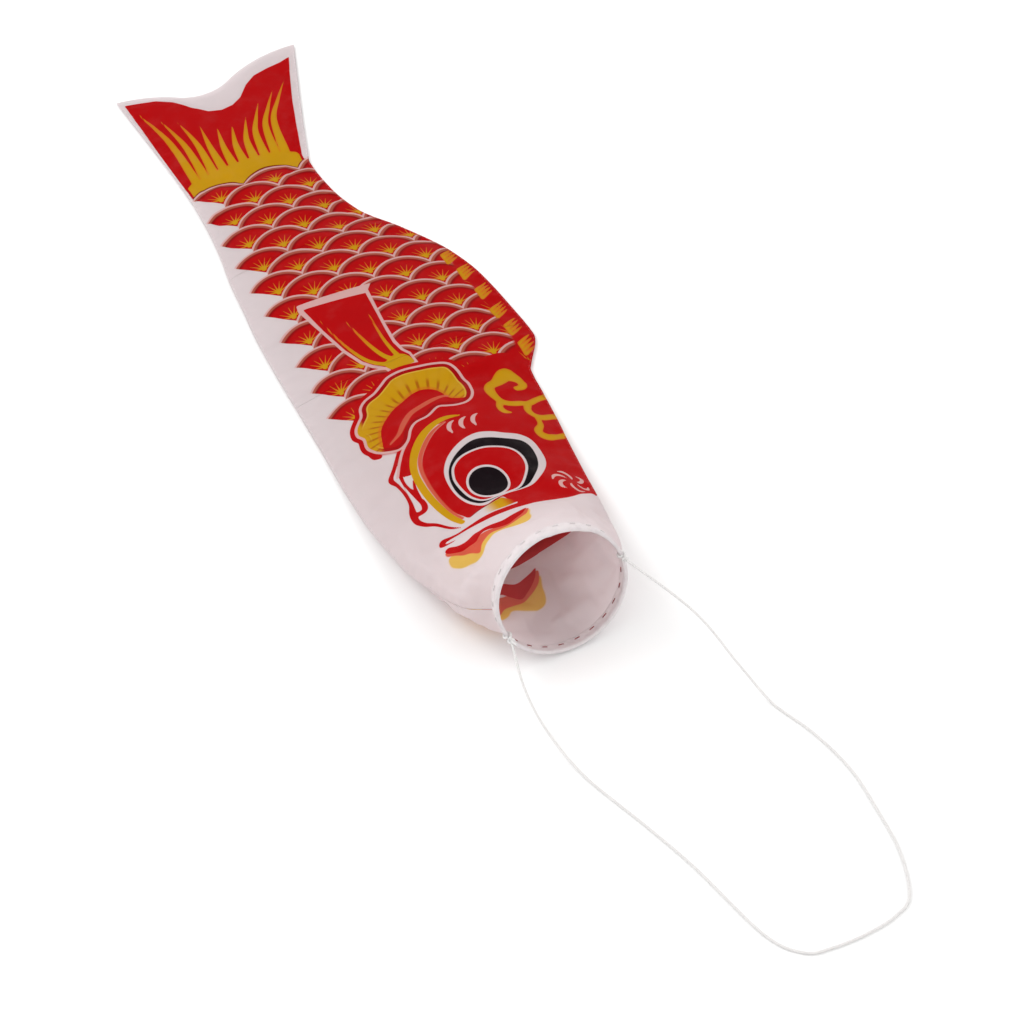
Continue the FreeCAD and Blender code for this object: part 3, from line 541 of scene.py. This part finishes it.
CLOTH_WHITE, RED, DARK_RED = linear(240, 233, 234), linear(214, 2, 10), linear(150, 2, 14)
GOLD, ORANGE, RIB = linear(228, 184, 20), linear(234, 138, 34), linear(204, 126, 16)
SALMON, PINK, BLACK = linear(232, 116, 88), linear(240, 205, 202), linear(28, 12, 20)
DUSK, PALE_GOLD = linear(204, 112, 92), linear(240, 208, 84)


def feed(tree, node, inputs):
    """Fills a node's inputs, each with a value or another node's output."""
    for name, value in inputs.items():
        if isinstance(value, (int, float, tuple)):
            node.inputs[name].default_value = value
        else:
            tree.links.new(value.socket if isinstance(value, Wire) else value, node.inputs[name])


def add_node(tree, kind, inputs, **settings):
    node = tree.nodes.new("ShaderNode" + kind)
    for name, value in settings.items():
        setattr(node, name, value)
    feed(tree, node, inputs)
    return node


class Wire:
    """A value inside a shader; sums and products of wires add the nodes they need."""

    def __init__(self, tree, socket):
        self.tree, self.socket = tree, socket

    def math(self, kind, *others):
        node = add_node(self.tree, "Math", dict(enumerate((self, *others))), operation=kind)
        return Wire(self.tree, node.outputs[0])

    __add__ = partialmethod(math, "ADD")
    __sub__ = partialmethod(math, "SUBTRACT")
    __mul__ = partialmethod(math, "MULTIPLY")
    __truediv__ = partialmethod(math, "DIVIDE")

    def rising(self, start, end):
        """0 below start and 1 above end, with a smooth change between them."""
        node = add_node(self.tree, "MapRange", {"Value": self, "From Min": start, "From Max": end},
                        interpolation_type="SMOOTHSTEP")
        return Wire(self.tree, node.outputs[0])

    def inked(self, edge=0.0, soft=0.16):
        """1 where the distance is below edge."""
        return (self * -1).rising(-edge - soft, -edge + soft)

    def band(self, low, high, soft=0.16):
        """1 where the distance is between low and high."""
        return self.inked(high, soft) * self.rising(low - soft, low + soft)


class Look:
    """One material under construction."""

    def __init__(self, name):
        self.material = bpy.data.materials.new(name)
        self.material.use_nodes = True
        self.tree = self.material.node_tree
        self.surface = self.tree.nodes["Principled BSDF"]

    def field(self, name):
        return Wire(self.tree, add_node(self.tree, "Attribute", {}, attribute_name=name).outputs["Fac"])

    def paint(self, base, *layers):
        """Each layer's colour over the ones before it, where the layer's mask is 1."""
        for colour, mask in layers:
            node = add_node(self.tree, "Mix", {"Factor": mask, "A": base, "B": colour}, data_type="RGBA")
            base = node.outputs["Result"]
        return base

    def noise(self, scale, detail=3.0):
        place = add_node(self.tree, "TexCoord", {}).outputs["Object"]
        node = add_node(self.tree, "TexNoise", {"Vector": place, "Scale": scale, "Detail": detail})
        return Wire(self.tree, node.outputs["Fac"])

    def bump(self, height, distance, strength):
        node = add_node(self.tree, "Bump", {"Height": height, "Distance": distance, "Strength": strength})
        self.set(Normal=node.outputs[0])

    def see_through(self, colour, share):
        """Thin cloth: part of the light comes from behind."""
        behind = add_node(self.tree, "BsdfTranslucent", {"Color": colour})
        both = add_node(self.tree, "MixShader", {0: share, 1: self.surface.outputs[0], 2: behind.outputs[0]})
        self.tree.links.new(both.outputs[0], self.tree.nodes["Material Output"].inputs["Surface"])

    def set(self, **values):
        feed(self.tree, self.surface, {name.replace("_", " "): value for name, value in values.items()})


SCALE_WIDE, SCALE_LONG, SCALE_ROUND = 18.2, 24.3, 22.2
SCALE_FOOT = 222.0          # b of the arcs' tops in the even columns, first row
SCALE_V = 21.7              # from an arc's top to the point at its foot
TAIL_ARC = SCALE_FOOT + 9 * SCALE_LONG
WEAVE_PITCH = 0.42


def scale_lattice(look, a, b):
    """Colours of the overlapping scales, and how far b is past the arcs at the tail's foot."""
    def column(shift):
        number = (a / SCALE_WIDE + shift) * 0.5
        nearest = number.math("ROUND") * 2 - shift
        off = a - nearest * SCALE_WIDE
        drop = (off * off * -1 + SCALE_ROUND ** 2).math("SQRT") * -1 + SCALE_ROUND
        start = SCALE_FOOT + (SCALE_LONG / 2 if shift else 0)
        top = ((b + drop - start) / SCALE_LONG).math("CEIL") * SCALE_LONG + start
        return off, drop, top

    off_even, drop_even, top_even = column(0)
    off_odd, _, top_odd = column(1)
    belly = (a * -1).math("GREATER_THAN", 2 * SCALE_WIDE)
    pick = (top_odd + belly * 1000).math("LESS_THAN", top_even)
    off = off_even + (off_odd - off_even) * pick
    top = top_even + (top_odd - top_even) * pick
    rise = b - top
    depth = (off * off + (rise + SCALE_ROUND) * (rise + SCALE_ROUND)).math("SQRT") * -1 + SCALE_ROUND
    up = rise + SCALE_V - 3.6
    reach = (off * off + up * up).math("SQRT")
    angle = off.math("ARCTAN2", up)
    step = math.radians(23)
    spoke = (angle - (angle / step).math("ROUND") * step).math("SINE").math("ABSOLUTE") * reach
    width = reach * -0.055 + 0.62
    rays = (spoke - width).inked(0, 0.16) * reach.inked(9.6, 0.6) * angle.math("ABSOLUTE").inked(1.34, 0.08)
    ray_colour = look.paint(GOLD, (ORANGE, reach.rising(2, 6)))
    colour = look.paint(RED, (DARK_RED, depth.inked(4.4, 1.3) * 0.8), (ray_colour, rays),
                        (GOLD, reach.inked(1.5, 0.4)), (DUSK, depth.inked(3.1, 0.6)),
                        (PINK, depth.inked(1.35, 0.25)))
    # on the belly side the outermost scales are cut off at a slant
    slant = (a + 2 * SCALE_WIDE) + (rise + SCALE_V)
    shown = (slant + (a + 2 * SCALE_WIDE).math("GREATER_THAN", 0) * 100).rising(-0.2, 0.2)
    return colour, shown, b + drop_even - TAIL_ARC


def cloth_look(name, inside):
    """Printed polyester: the print, its weave, a faint sheen, and light from behind."""
    look = Look(name)
    a, b = look.field("pattern_a"), look.field("pattern_b")
    ink = {shape: look.field(shape) for shape in SHAPES}
    scales, shown, past_arcs = scale_lattice(look, a, b)

    def on(shape, *edge):
        return ink[shape].inked(*edge)

    tail_shade = b.rising(452, 540) * 0.6 + ink["tail_gold"].rising(-1.1, 0) * 0.55
    tail_ray = look.paint(GOLD, (ORANGE, tail_shade.math("MINIMUM", 0.8)))
    tail = look.paint(
        CLOTH_WHITE,
        (RED, on("tail_red")),
        (tail_ray, on("tail_gold") * on("tail_red", -1.6)),
        (DARK_RED, past_arcs.inked(1.1, 0.3) * on("tail_red")))
    trunk = look.paint(CLOTH_WHITE, (scales, shown * a.rising(-53, -52.6) * b.rising(196, 198)))
    lid = look.paint(CLOTH_WHITE, (GOLD, a.rising(-13, -3)), (RED, a.rising(-1, 7)))
    fan = (a + 4).math("ARCTAN2", b - 170)
    ribs = (fan * 42).math("SINE").rising(0.3, 0.95) * on("gill_core", 7.4, 2.4)
    gill = look.paint(
        GOLD,
        (RIB, ribs),
        (ORANGE, ink["gill_core"].band(0, 1.8, 0.9) * 0.7),
        (PALE_GOLD, ink["gill"].band(-4.3, -3.4, 0.3) * a.rising(-39, -35)),
        (RED, on("gill_core")),
        (SALMON, on("gill_line", 0, 0.4)),
        (look.paint(RED, (DARK_RED, 0.35)), ink["gill"].band(-3.4, 1) * a.rising(-39, -35)))
    pupil_a, pupil_b = (a - 1.2) / 10.4, (b - 103.3) / 13.6
    pupil = (pupil_a * pupil_a + pupil_b * pupil_b).math("SQRT")
    mottle = look.noise(90, 4)
    base = look.paint(
        trunk,
        (tail, past_arcs.rising(0, 0.2)),
        (RED, on("band", 0, 1.2)),
        (look.paint(GOLD, (ORANGE, ink["band_gold"].rising(-1.2, 0))), on("band_gold")),
        (PINK, on("fin_edge")),
        (RED, on("fin_red")),
        (look.paint(GOLD, (ORANGE, b.rising(240, 275))), on("fin_gold") * on("fin_red", 0.3)),
        # lips, from the outermost stripe inwards
        (PALE_GOLD, on("lip_yellow", 0, 0.6) * 0.9),
        (SALMON, on("lip_salmon", 0, 0.4)),
        (RED, on("lip_red", 0, 0.25)),
        # the gill's outer red band, then the face, then what is drawn on them
        (RED, on("gill", 3.7) * (b + a * 0.7).rising(134, 138)),
        (RED, on("face")),
        (lid, on("lid", -0.2, 0.4)),
        (DARK_RED, ink["lid"].band(-0.2, 0.5) * b.rising(78, 80) * a.inked(1, 1)),
        (SALMON, on("crescent_edge", 0, 0.5)),
        (GOLD, on("crescent")),
        (PINK, on("cheek_white")),
        (gill, on("gill")),
        (PINK, ink["gill"].band(-0.85, 0.85)),
        (GOLD, on("cloud", 0, 0.3)),
        (ORANGE, ink["cloud"].band(-0.9, -0.1, 0.3) * 0.45),
        (PINK, on("marks")),
        # eye: white, black, white line, red, white ring, pupil
        (CLOTH_WHITE, on("eye_white")),
        (BLACK, on("eye_black")),
        (CLOTH_WHITE, on("eye_red", 0.2)),
        (RED, on("eye_red", -1.3)),
        (CLOTH_WHITE, pupil.inked(1.13, 0.014) * on("eye_white", -0.4)),
        (BLACK, pupil.inked(1.0, 0.014) * on("eye_white", -1)),
        # unevenness of the dye, and the paler back of the print
        (CLOTH_WHITE, mottle.rising(0.45, 0.85) * 0.025),
        (BLACK, look.noise(35, 2).rising(0.5, 0.9) * 0.03),
        (CLOTH_WHITE, 0.14 if inside else 0.0))
    thread = 2 * math.pi / WEAVE_PITCH
    weave = (a * thread).math("SINE") * (b * thread).math("SINE")
    look.bump(weave * 0.12 + look.noise(160, 3) * 0.9, 0.00022, 0.5)
    look.set(Base_Color=base, Roughness=mottle * 0.14 + 0.44, Sheen_Weight=0.03, Sheen_Roughness=0.4,
             Specular_IOR_Level=0.08)
    look.see_through(base, 0.6)
    return look.material


def plain_cloth_look():
    """The hem's unprinted cloth, folded double."""
    look = Look("hem_cloth")
    mottle = look.noise(220, 4)
    base = look.paint(CLOTH_WHITE, (linear(214, 204, 207), mottle.rising(0.4, 0.9) * 0.6))
    look.bump(look.noise(2600, 2) * 0.4 + mottle, 0.00025, 0.55)
    look.set(Base_Color=base, Roughness=mottle * 0.15 + 0.5, Sheen_Weight=0.06, Sheen_Roughness=0.4,
             Specular_IOR_Level=0.2)
    look.see_through(base, 0.35)
    return look.material


def fibre_look(name, light, dark, scale=6000, dyed=None):
    """Spun fibre: streaks of two tones with a soft surface; dyed where the piece's tone is 1."""
    look = Look(name)
    streak = look.noise(scale, 4)
    base = look.paint(light, (dark, streak.rising(0.35, 0.8)))
    if dyed:
        base = look.paint(base, (look.paint(dyed, (DARK_RED, streak.rising(0.4, 0.7))), look.field("tone")))
    look.bump(streak, 0.00012, 0.7)
    look.set(Base_Color=base, Roughness=streak * 0.2 + 0.6, Sheen_Weight=0.3, Sheen_Roughness=0.5)
    return look.material


def hard_look(name, colour, metal, roughness):
    """Drawn wire or moulded plastic with fine scuffs."""
    look = Look(name)
    scuff = look.noise(900, 6)
    look.bump(scuff, 0.00004, 0.5)
    shade = tuple(0.6 * c for c in colour[:3]) + (1,)
    look.set(Base_Color=look.paint(colour, (shade, scuff.rising(0.5, 0.8))), Metallic=metal,
             Roughness=scuff * 0.25 + roughness)
    return look.material


OUTSIDE, INSIDE = cloth_look("printed_cloth", False), cloth_look("printed_cloth_inside", True)
HEM = plain_cloth_look()
CORD = fibre_look("bridle_cord", linear(232, 230, 228), linear(176, 174, 176), 3200)
RED_THREAD = fibre_look("red_thread", linear(150, 30, 38), linear(84, 12, 22))
WHITE_THREAD = fibre_look("white_thread", linear(228, 222, 222), linear(180, 172, 176))
SEAM_THREAD = fibre_look("seam_thread", linear(228, 222, 222), linear(190, 182, 186), dyed=RED)
WIRE = hard_look("spring_wire", linear(186, 188, 192), 1.0, 0.25)
PLASTIC = hard_look("sleeve_plastic", linear(206, 206, 202), 0.0, 0.4)


# ---- meshes
def make_piece(name, points, faces, materials, slot, marks=None):
    mesh = bpy.data.meshes.new(name)
    faces = faces if isinstance(faces, list) else faces.tolist()
    mesh.from_pydata((np.asarray(points).reshape(-1, 3) * MM).tolist(), [], faces)
    for material in materials:
        mesh.materials.append(material)
    if marks is not None:
        mesh.polygons.foreach_set("material_index", np.asarray(marks, np.int32))
    mesh.shade_smooth()
    mesh.update()
    piece = bpy.data.objects.new(name, mesh)
    scene.collection.objects.link(piece)
    return piece


def add_field(piece, name, values):
    values = np.asarray(values, np.float32).ravel()
    piece.data.attributes.new(name, "FLOAT", "POINT").data.foreach_set("value", values)


def shell(name, outer, inner, fields, upper):
    """A closed thin sheet between two grids of points."""
    count, wide = outer.shape[:2]
    index, quads = grid_faces(count, wide)
    far = quads[:, ::-1] + count * wide
    rim = np.concatenate([index[0], index[1:, -1], index[-1, -2::-1], index[-2:0:-1, 0]])
    after = np.roll(rim, -1)
    walls = np.stack([rim, rim + count * wide, after + count * wide, after], -1)
    faces = np.concatenate([quads, far, walls])
    if not upper:
        faces = faces[:, ::-1]
    marks = np.concatenate([np.zeros(len(quads)), np.ones(len(far)), np.zeros(len(walls))])
    piece = make_piece(name, np.concatenate([outer, inner]), faces, [OUTSIDE, INSIDE], "printed_cloth", marks)
    smooth = np.ones(len(faces), bool)
    smooth[-len(walls):] = False
    piece.data.polygons.foreach_set("use_smooth", smooth)
    for field, values in fields.items():
        add_field(piece, field, np.tile(values.ravel(), 2))
    return piece


# name, first and last b, the two bodies joined by the zone's joint, where the bend starts and ends
ZONES = [("head", B_START - 1.6, 235.0, ("head", "front"), (170, 235)),
         ("trunk", 235.0, 355.0, ("front", "rear"), (280, 355)),
         ("tail", 355.0, TAIL_TIP, ("rear", "tail"), (395, 466))]
STANDS_FOR = {"head": ("head", "front"), "trunk": ("rear",), "tail": ("tail",)}


def bend(piece, zone, node):
    """Fixes a piece of one zone in its place, in place of the CAD nodes named after node, which it hides."""
    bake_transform(piece)
    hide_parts(*(f"{node}_{part}" for part in STANDS_FOR[zone]))


def build_flanks():
    """Both flanks on one grid, kept apart from each other and off the table, then cut into the zones."""
    spans = [np.linspace(low, high, int((high - low) / PITCH) + 1)[:-1] for _, low, high, _, _ in ZONES]
    starts = np.cumsum([0] + [len(span) for span in spans])
    b, share = np.meshgrid(np.append(np.concatenate(spans), TAIL_TIP), np.linspace(0, 1, COLUMNS),
                           indexing="ij")
    plies = []
    for upper in (True, False):
        points, a = skin(np.maximum(b, B_START).ravel(), share.ravel(), upper)
        points, a = points.reshape(b.shape + (3,)), a.reshape(b.shape)
        points += np.minimum(b - B_START, 0)[..., None] * AXIS
        plies.append(finish_surface(points, a, b, share, upper))
        if upper:
            pattern = a
    top, bottom = plies
    bottom[..., 2] = np.maximum(bottom[..., 2], 0.2 + SHEET / 2)
    near_edge = np.minimum(share, 1 - share) * 100
    least = CLEARANCE + 0.5 * (1 - np.exp(-near_edge / 6))
    top[..., 2] = np.maximum(top[..., 2], bottom[..., 2] + least)
    cut = tail_cut(b, top[..., 0])
    for points in plies:
        points[..., 1] += cut - b
    fields = print_fields(pattern, cut)
    fields["pattern_a"], fields["pattern_b"] = pattern, cut
    for side, upper, points in (("right", True, top), ("left", False, bottom)):
        normal = grid_normals(points, upper) * SHEET / 2
        for (zone, *_), first, last in zip(ZONES, starts[:-1], starts[1:]):
            part = slice(first, last + 1)
            # the sheet thins from its inner face where the next piece carries on
            step = np.arange(last + 1 - first)
            thin = np.interp(np.minimum(step, step[::-1]), [0, 1, 2], [0.15, 0.6, 1])[:, None, None]
            outer = points[part] + normal[part]
            piece = shell(f"{side}_flank_{zone}_cloth", outer, outer - 2 * thin * normal[part],
                          {k: v[part] for k, v in fields.items()}, upper)
            bend(piece, zone, f"{side}_flank")


build_flanks()


def cross_frame(path):
    """Two unit vectors across a path, square to each other."""
    along = np.gradient(path, axis=0)
    along /= np.linalg.norm(along, axis=1, keepdims=True) + TINY
    first = np.cross(along, (0.31, 0.17, 0.93))
    first /= np.linalg.norm(first, axis=1, keepdims=True) + TINY
    return first, np.cross(along, first)


def tube(path, radius, sides):
    """Points and faces of a round, capped tube along a path; radius may change along it."""
    first, second = cross_frame(path)
    angle = (np.arange(sides) * 2 * math.pi / sides)[None, :, None]
    radius = np.broadcast_to(np.asarray(radius, float), (len(path),))[:, None, None]
    points = path[:, None] + (np.cos(angle) * first[:, None] + np.sin(angle) * second[:, None]) * radius
    index, quads = grid_faces(len(path), sides, close_columns=True)
    return points.reshape(-1, 3), quads.tolist() + [list(index[0][::-1]), list(index[-1])]


def merge(parts):
    """One set of points and faces from several."""
    points, faces, start = [], [], 0
    for p, f in parts:
        points.append(p)
        faces += [[int(i) + start for i in face] for face in f]
        start += len(p)
    return np.concatenate(points), faces


# ---- seams
def seam_stitches(zone, b_low, b_high, back):
    """Short stitches along one seam, on both faces of the sewn edge."""
    parts, tone = [], []
    for middle in np.arange(b_low + 1.7, b_high - 1.2, 3.4):
        for upper in (True, False):
            span = np.linspace(middle - 1.25, middle + 1.25, 5)
            near = THREAD_INSET * 1.6 / (dorsal_at(span) + ventral_at(span))
            points, _ = skin(span, 1 - near if back else near, upper)
            cut = tail_cut(span, points[:, 0])
            points[:, 1] += cut - span
            points[:, 2] += 0.22 * np.sin(np.linspace(0, math.pi, 5)) * (1 if upper else -1) + (
                0.12 if upper else -0.12)
            points[:, 2] = np.maximum(points[:, 2], 0.3)
            parts.append(tube(points, (0.1, 0.17, 0.19, 0.17, 0.1), 6))
            tone += [float(back and 79 < middle < 436)] * len(parts[-1][0])
    name = "dorsal" if back else "ventral"
    piece = make_piece(f"{name}_seam_{zone}_stitches", *merge(parts), [SEAM_THREAD], "white_thread")
    add_field(piece, "tone", tone)
    bend(piece, zone, f"{name}_seam")


for zone, b_low, b_high, _, _ in ZONES:
    for back in (True, False):
        seam_stitches(zone, max(b_low, B_START + 3), min(b_high, TAIL_TIP - 6), back)


# ---- hem, stitches, ties
def round_hoop(angle, radius, depth):
    """Points at an angle round the hoop, a radius from its axis and a depth behind its wire."""
    angle, radius, depth = np.broadcast_arrays(angle, radius, depth)
    outward = np.cos(angle)[..., None] * ACROSS + np.sin(angle)[..., None] * UPRIGHT
    return HOOP_CENTRE + radius[..., None] * outward + depth[..., None] * AXIS


TIE_ANGLES = {"dorsal": math.radians(12), "ventral": math.radians(202)}
STITCHES, STITCH_DEPTH = 24, 4.6        # how many, and how far behind the wire
# hem's outline round the wire: depth behind the wire, offset from the hoop's radius
HEM_PROFILE = [
    (6.6, 0.36), (5.6, 0.4), (4.6, 0.42), (3.6, 0.5), (2.6, 0.66), (1.6, 0.9), (0.6, 1.1), (-0.3, 1.06),
    (-0.95, 0.62), (-1.15, 0), (-0.95, -0.62), (-0.3, -1.06), (0.6, -1.1), (1.6, -0.9), (2.6, -0.66),
    (3.6, -0.52), (4.6, -0.44), (5.6, -0.42), (6.6, -0.38)]


def build_hem():
    profile = through(HEM_PROFILE, 3)
    angle = np.linspace(0, 2 * math.pi, 480, endpoint=False)
    depth, offset = profile[:, 0][None], profile[:, 1][None]
    turn = angle[:, None]
    gather = (0.10 * np.cos(STITCHES * turn) + 0.05 * np.sin(61 * turn + 1.3 * depth)
              + 0.04 * np.sin(37 * turn))
    offset = offset + np.sign(offset) * gather * ease(depth, -1.5, 3)
    for tie in TIE_ANGLES.values():
        gap = (turn - tie + math.pi) % (2 * math.pi) - math.pi
        offset = offset * (1 - 0.1 * np.exp(-(gap * HOOP_RADIUS / 1.6) ** 2))
    sleeve = vertices("hoop_sleeve") - HOOP_CENTRE
    around = np.arctan2(sleeve @ UPRIGHT, sleeve[:, 0])
    thick = np.hypot(np.hypot(sleeve @ UPRIGHT, sleeve[:, 0]) - HOOP_RADIUS, sleeve @ AXIS).max() + 0.3
    off_sleeve = abs(turn - (around.min() + around.max()) / 2) - (around.max() - around.min()) / 2
    swell = 1 + (thick / 1.06 - 1) * (1 - ease(off_sleeve * HOOP_RADIUS, 0.5, 4.5))
    round_wire = 1 - ease(depth, 1.5, 4.5)
    offset = offset * (1 + (swell - 1) * round_wire)
    depth = depth * np.where(depth < 0, swell, 1) + 0.12 * np.sin(19 * turn + 0.7) * ease(depth, 3, 6.5)
    points = round_hoop(turn, HOOP_RADIUS + offset, depth)
    _, quads = grid_faces(*points.shape[:2], close_rows=True, close_columns=True)
    piece = make_piece("mouth_hem_cloth", points, quads[:, [0, 3, 2, 1]], [HEM], "plain_cloth")
    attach(piece, "head")
    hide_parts("mouth_hem")


def build_hem_stitches():
    """Two-ply stitches through both plies: a pale top thread outside, a dark red one inside."""
    half = math.radians(2.5)
    parts, marks = [], []
    for k in range(STITCHES):
        middle = 2 * math.pi * (k + 0.5) / STITCHES
        span = np.linspace(-1, 1, 13)
        for outward in (1, -1):
            for ply in (0, math.pi):
                twist = 5 * span + ply
                lift = 0.48 + 0.16 * (1 - span ** 2) + 0.13 * np.cos(twist)
                depth = STITCH_DEPTH + 0.14 * np.sin(twist)
                path = round_hoop(middle + half * span, HOOP_RADIUS + outward * lift, depth)
                parts.append(tube(path, 0.2 * (1 - 0.5 * span ** 6), 6))
                marks += [0 if outward < 0 else 1] * len(parts[-1][1])
    piece = make_piece("hem_running_stitches", *merge(parts), [RED_THREAD, WHITE_THREAD], "red_thread", marks)
    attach(piece, "head")
    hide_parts("hem_stitches")


CORD_RADIUS = 0.75
CORD_LAY, STRANDS = 3.6, 3  # length of one turn of a strand, and how many there are
WRAP_RADIUS = 1.95          # of the cord's turn round the hem


def twisted(path):
    """A laid cord: strands wound round a path."""
    length = np.r_[0, np.cumsum(np.linalg.norm(np.diff(path, axis=0), axis=1))]
    even = np.linspace(0, length[-1], max(8, int(length[-1] / 0.55)))
    path = np.stack([np.interp(even, length, path[:, i]) for i in range(3)], -1)
    first, second = cross_frame(path)
    parts = []
    for k in range(STRANDS):
        turn = (2 * math.pi * (even / CORD_LAY + k / STRANDS))[:, None]
        centre = path + 0.46 * CORD_RADIUS * (np.cos(turn) * first + np.sin(turn) * second)
        parts.append(tube(centre, 0.54 * CORD_RADIUS, 7))
    return merge(parts)


def build_tie(name, knot):
    """The cord's wrap round the hem, its knot and a short end."""
    angle = TIE_ANGLES[name]
    wrap_centre = round_hoop(angle, HOOP_RADIUS, 0.0)
    outward = np.cos(angle) * ACROSS + np.sin(angle) * UPRIGHT
    aim = knot - wrap_centre
    start = math.atan2(aim @ AXIS, aim @ outward)
    sweep = np.linspace(start, start + 2 * math.pi, 60)[:, None]
    wrap = (wrap_centre + WRAP_RADIUS * (np.cos(sweep) * outward + np.sin(sweep) * AXIS)
            + np.linspace(-0.6, 0.6, 60)[:, None] * np.cross(outward, AXIS))
    turn = np.linspace(0, 2 * math.pi, 90)
    spin = Matrix.Rotation(0.6 if name == "dorsal" else 2.1, 3, "X")
    trefoil = np.stack([np.sin(turn) + 2 * np.sin(2 * turn), np.cos(turn) - 2 * np.cos(2 * turn),
                        -1.3 * np.sin(3 * turn)], -1) * 0.5
    aim /= np.linalg.norm(aim)
    s = np.linspace(0, 4.5, 9)[:, None]
    end = knot + aim * s + np.array([0.35, 0.1, -0.35]) * s * s * 0.2
    parts = [twisted(wrap), twisted(knot + trefoil @ np.array(spin)), twisted(end)]
    piece = make_piece(f"{name}_tie_cord", *merge(parts), [CORD], "bridle_cord")
    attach(piece, "head")
    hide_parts(f"{name}_tie")


def knot_place(name):
    """The knot sits on the outer end of its tie, away from the hoop's wire."""
    points = vertices(f"{name}_tie")
    wire = round_hoop(TIE_ANGLES[name], HOOP_RADIUS, 0.0)
    far = points[np.argmax(np.linalg.norm(points - wire, axis=1))]
    toward = (far - wire) / np.linalg.norm(far - wire)
    return far - 2.1 * toward


KNOTS = {name: knot_place(name) for name in TIE_ANGLES}
build_hem()
build_hem_stitches()
for name, knot in KNOTS.items():
    build_tie(name, knot)


# ---- bridle
TABLE = 0.95                # height of the lying cord's middle
FOLD = -80.0                # line on the table where the bridle bends
DORSAL_LEG = [(60, -24, 22), (69, -56, 8), (75, -82, TABLE)]
VENTRAL_LEG = [(-37.5, -22, 12), (-36.5, -48, 3.6), (-31, -80, TABLE)]
LOOP = [(84, -108, TABLE), (89, -136, TABLE), (88, -165, TABLE), (85, -192, TABLE), (76, -216, TABLE),
        (64, -223, TABLE), (48, -225.5, TABLE), (29, -225, TABLE), (15, -221, TABLE), (3, -203, TABLE),
        (-8, -154, TABLE), (-18, -120, TABLE)]
cord_path = through([KNOTS["dorsal"], *DORSAL_LEG, *LOOP, *VENTRAL_LEG[::-1], KNOTS["ventral"]], 24)
cord_path[:, 2] = np.maximum(cord_path[:, 2], TABLE)
is_low = cord_path[:, 1] < FOLD * 0.45
first, last = np.argmax(is_low), len(is_low) - np.argmax(is_low[::-1])
for name, path in (("dorsal", cord_path[:first + 1]), ("ventral", cord_path[last - 1:])):
    piece = make_piece(f"{name}_leg_cord", *twisted(path), [CORD], "bridle_cord")
    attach(piece, "bridle_legs")
    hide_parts(f"{name}_bridle_leg")
piece = make_piece("bridle_loop_cord", *twisted(cord_path[first:last]), [CORD], "bridle_cord")
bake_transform(piece)
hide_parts("bridle_loop")

for node, material in (("mouth_hoop", WIRE), ("hoop_sleeve", PLASTIC)):
    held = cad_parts[node].data
    held.materials.clear()
    held.materials.append(material)


# ---- floor, light, camera
floor_look = Look("pale_floor")
cloudy = floor_look.paint((0.9, 0.9, 0.9, 1), ((0.87, 0.87, 0.87, 1), floor_look.noise(3, 2)))
floor_look.set(Base_Color=cloudy, Roughness=0.8)
bpy.ops.mesh.primitive_plane_add(size=12, location=(0, 0, 0))
floor = bpy.context.object
floor.name = "floor"
floor.data.materials.append(floor_look.material)

world = bpy.data.worlds.new("studio")
scene.world = world
world.use_nodes = True
feed(world.node_tree, world.node_tree.nodes["Background"], {0: (1.0, 0.995, 0.99, 1), 1: 1.07})


def softbox(name, place, size, power):
    light = bpy.data.lights.new(name, "AREA")
    light.size, light.energy = size, power
    lamp = bpy.data.objects.new(name, light)
    lamp.location = place
    lamp.rotation_mode = "QUATERNION"
    lamp.rotation_quaternion = (Vector((0, 0.15, 0)) - Vector(place)).to_track_quat("-Z", "Y")
    scene.collection.objects.link(lamp)


softbox("key", (-0.9, 0.9, 1.5), 0.9, 10)
softbox("fill", (1.1, -0.9, 1.3), 1.2, 4)

scene.view_settings.view_transform = "Standard"

AZIMUTH, ELEVATION = math.radians(-28.5), math.radians(44)
CAMERA_PLACE = Vector((-0.361, -0.858, 1.117))
LOOK_AT = Vector((0.01, 0.096, 0.01))
LENS = 97
back = Vector((math.sin(AZIMUTH) * math.cos(ELEVATION), -math.cos(AZIMUTH) * math.cos(ELEVATION),
               math.sin(ELEVATION)))
camera = bpy.data.objects.new("camera", bpy.data.cameras.new("camera"))
scene.collection.objects.link(camera)
camera.data.lens = LENS
camera.location = CAMERA_PLACE
camera.rotation_mode = "QUATERNION"
level = (-back).to_track_quat("-Z", "Y")
swing = (-back).rotation_difference((LOOK_AT - CAMERA_PLACE).normalized())
camera.rotation_quaternion = swing @ level
scene.camera = camera
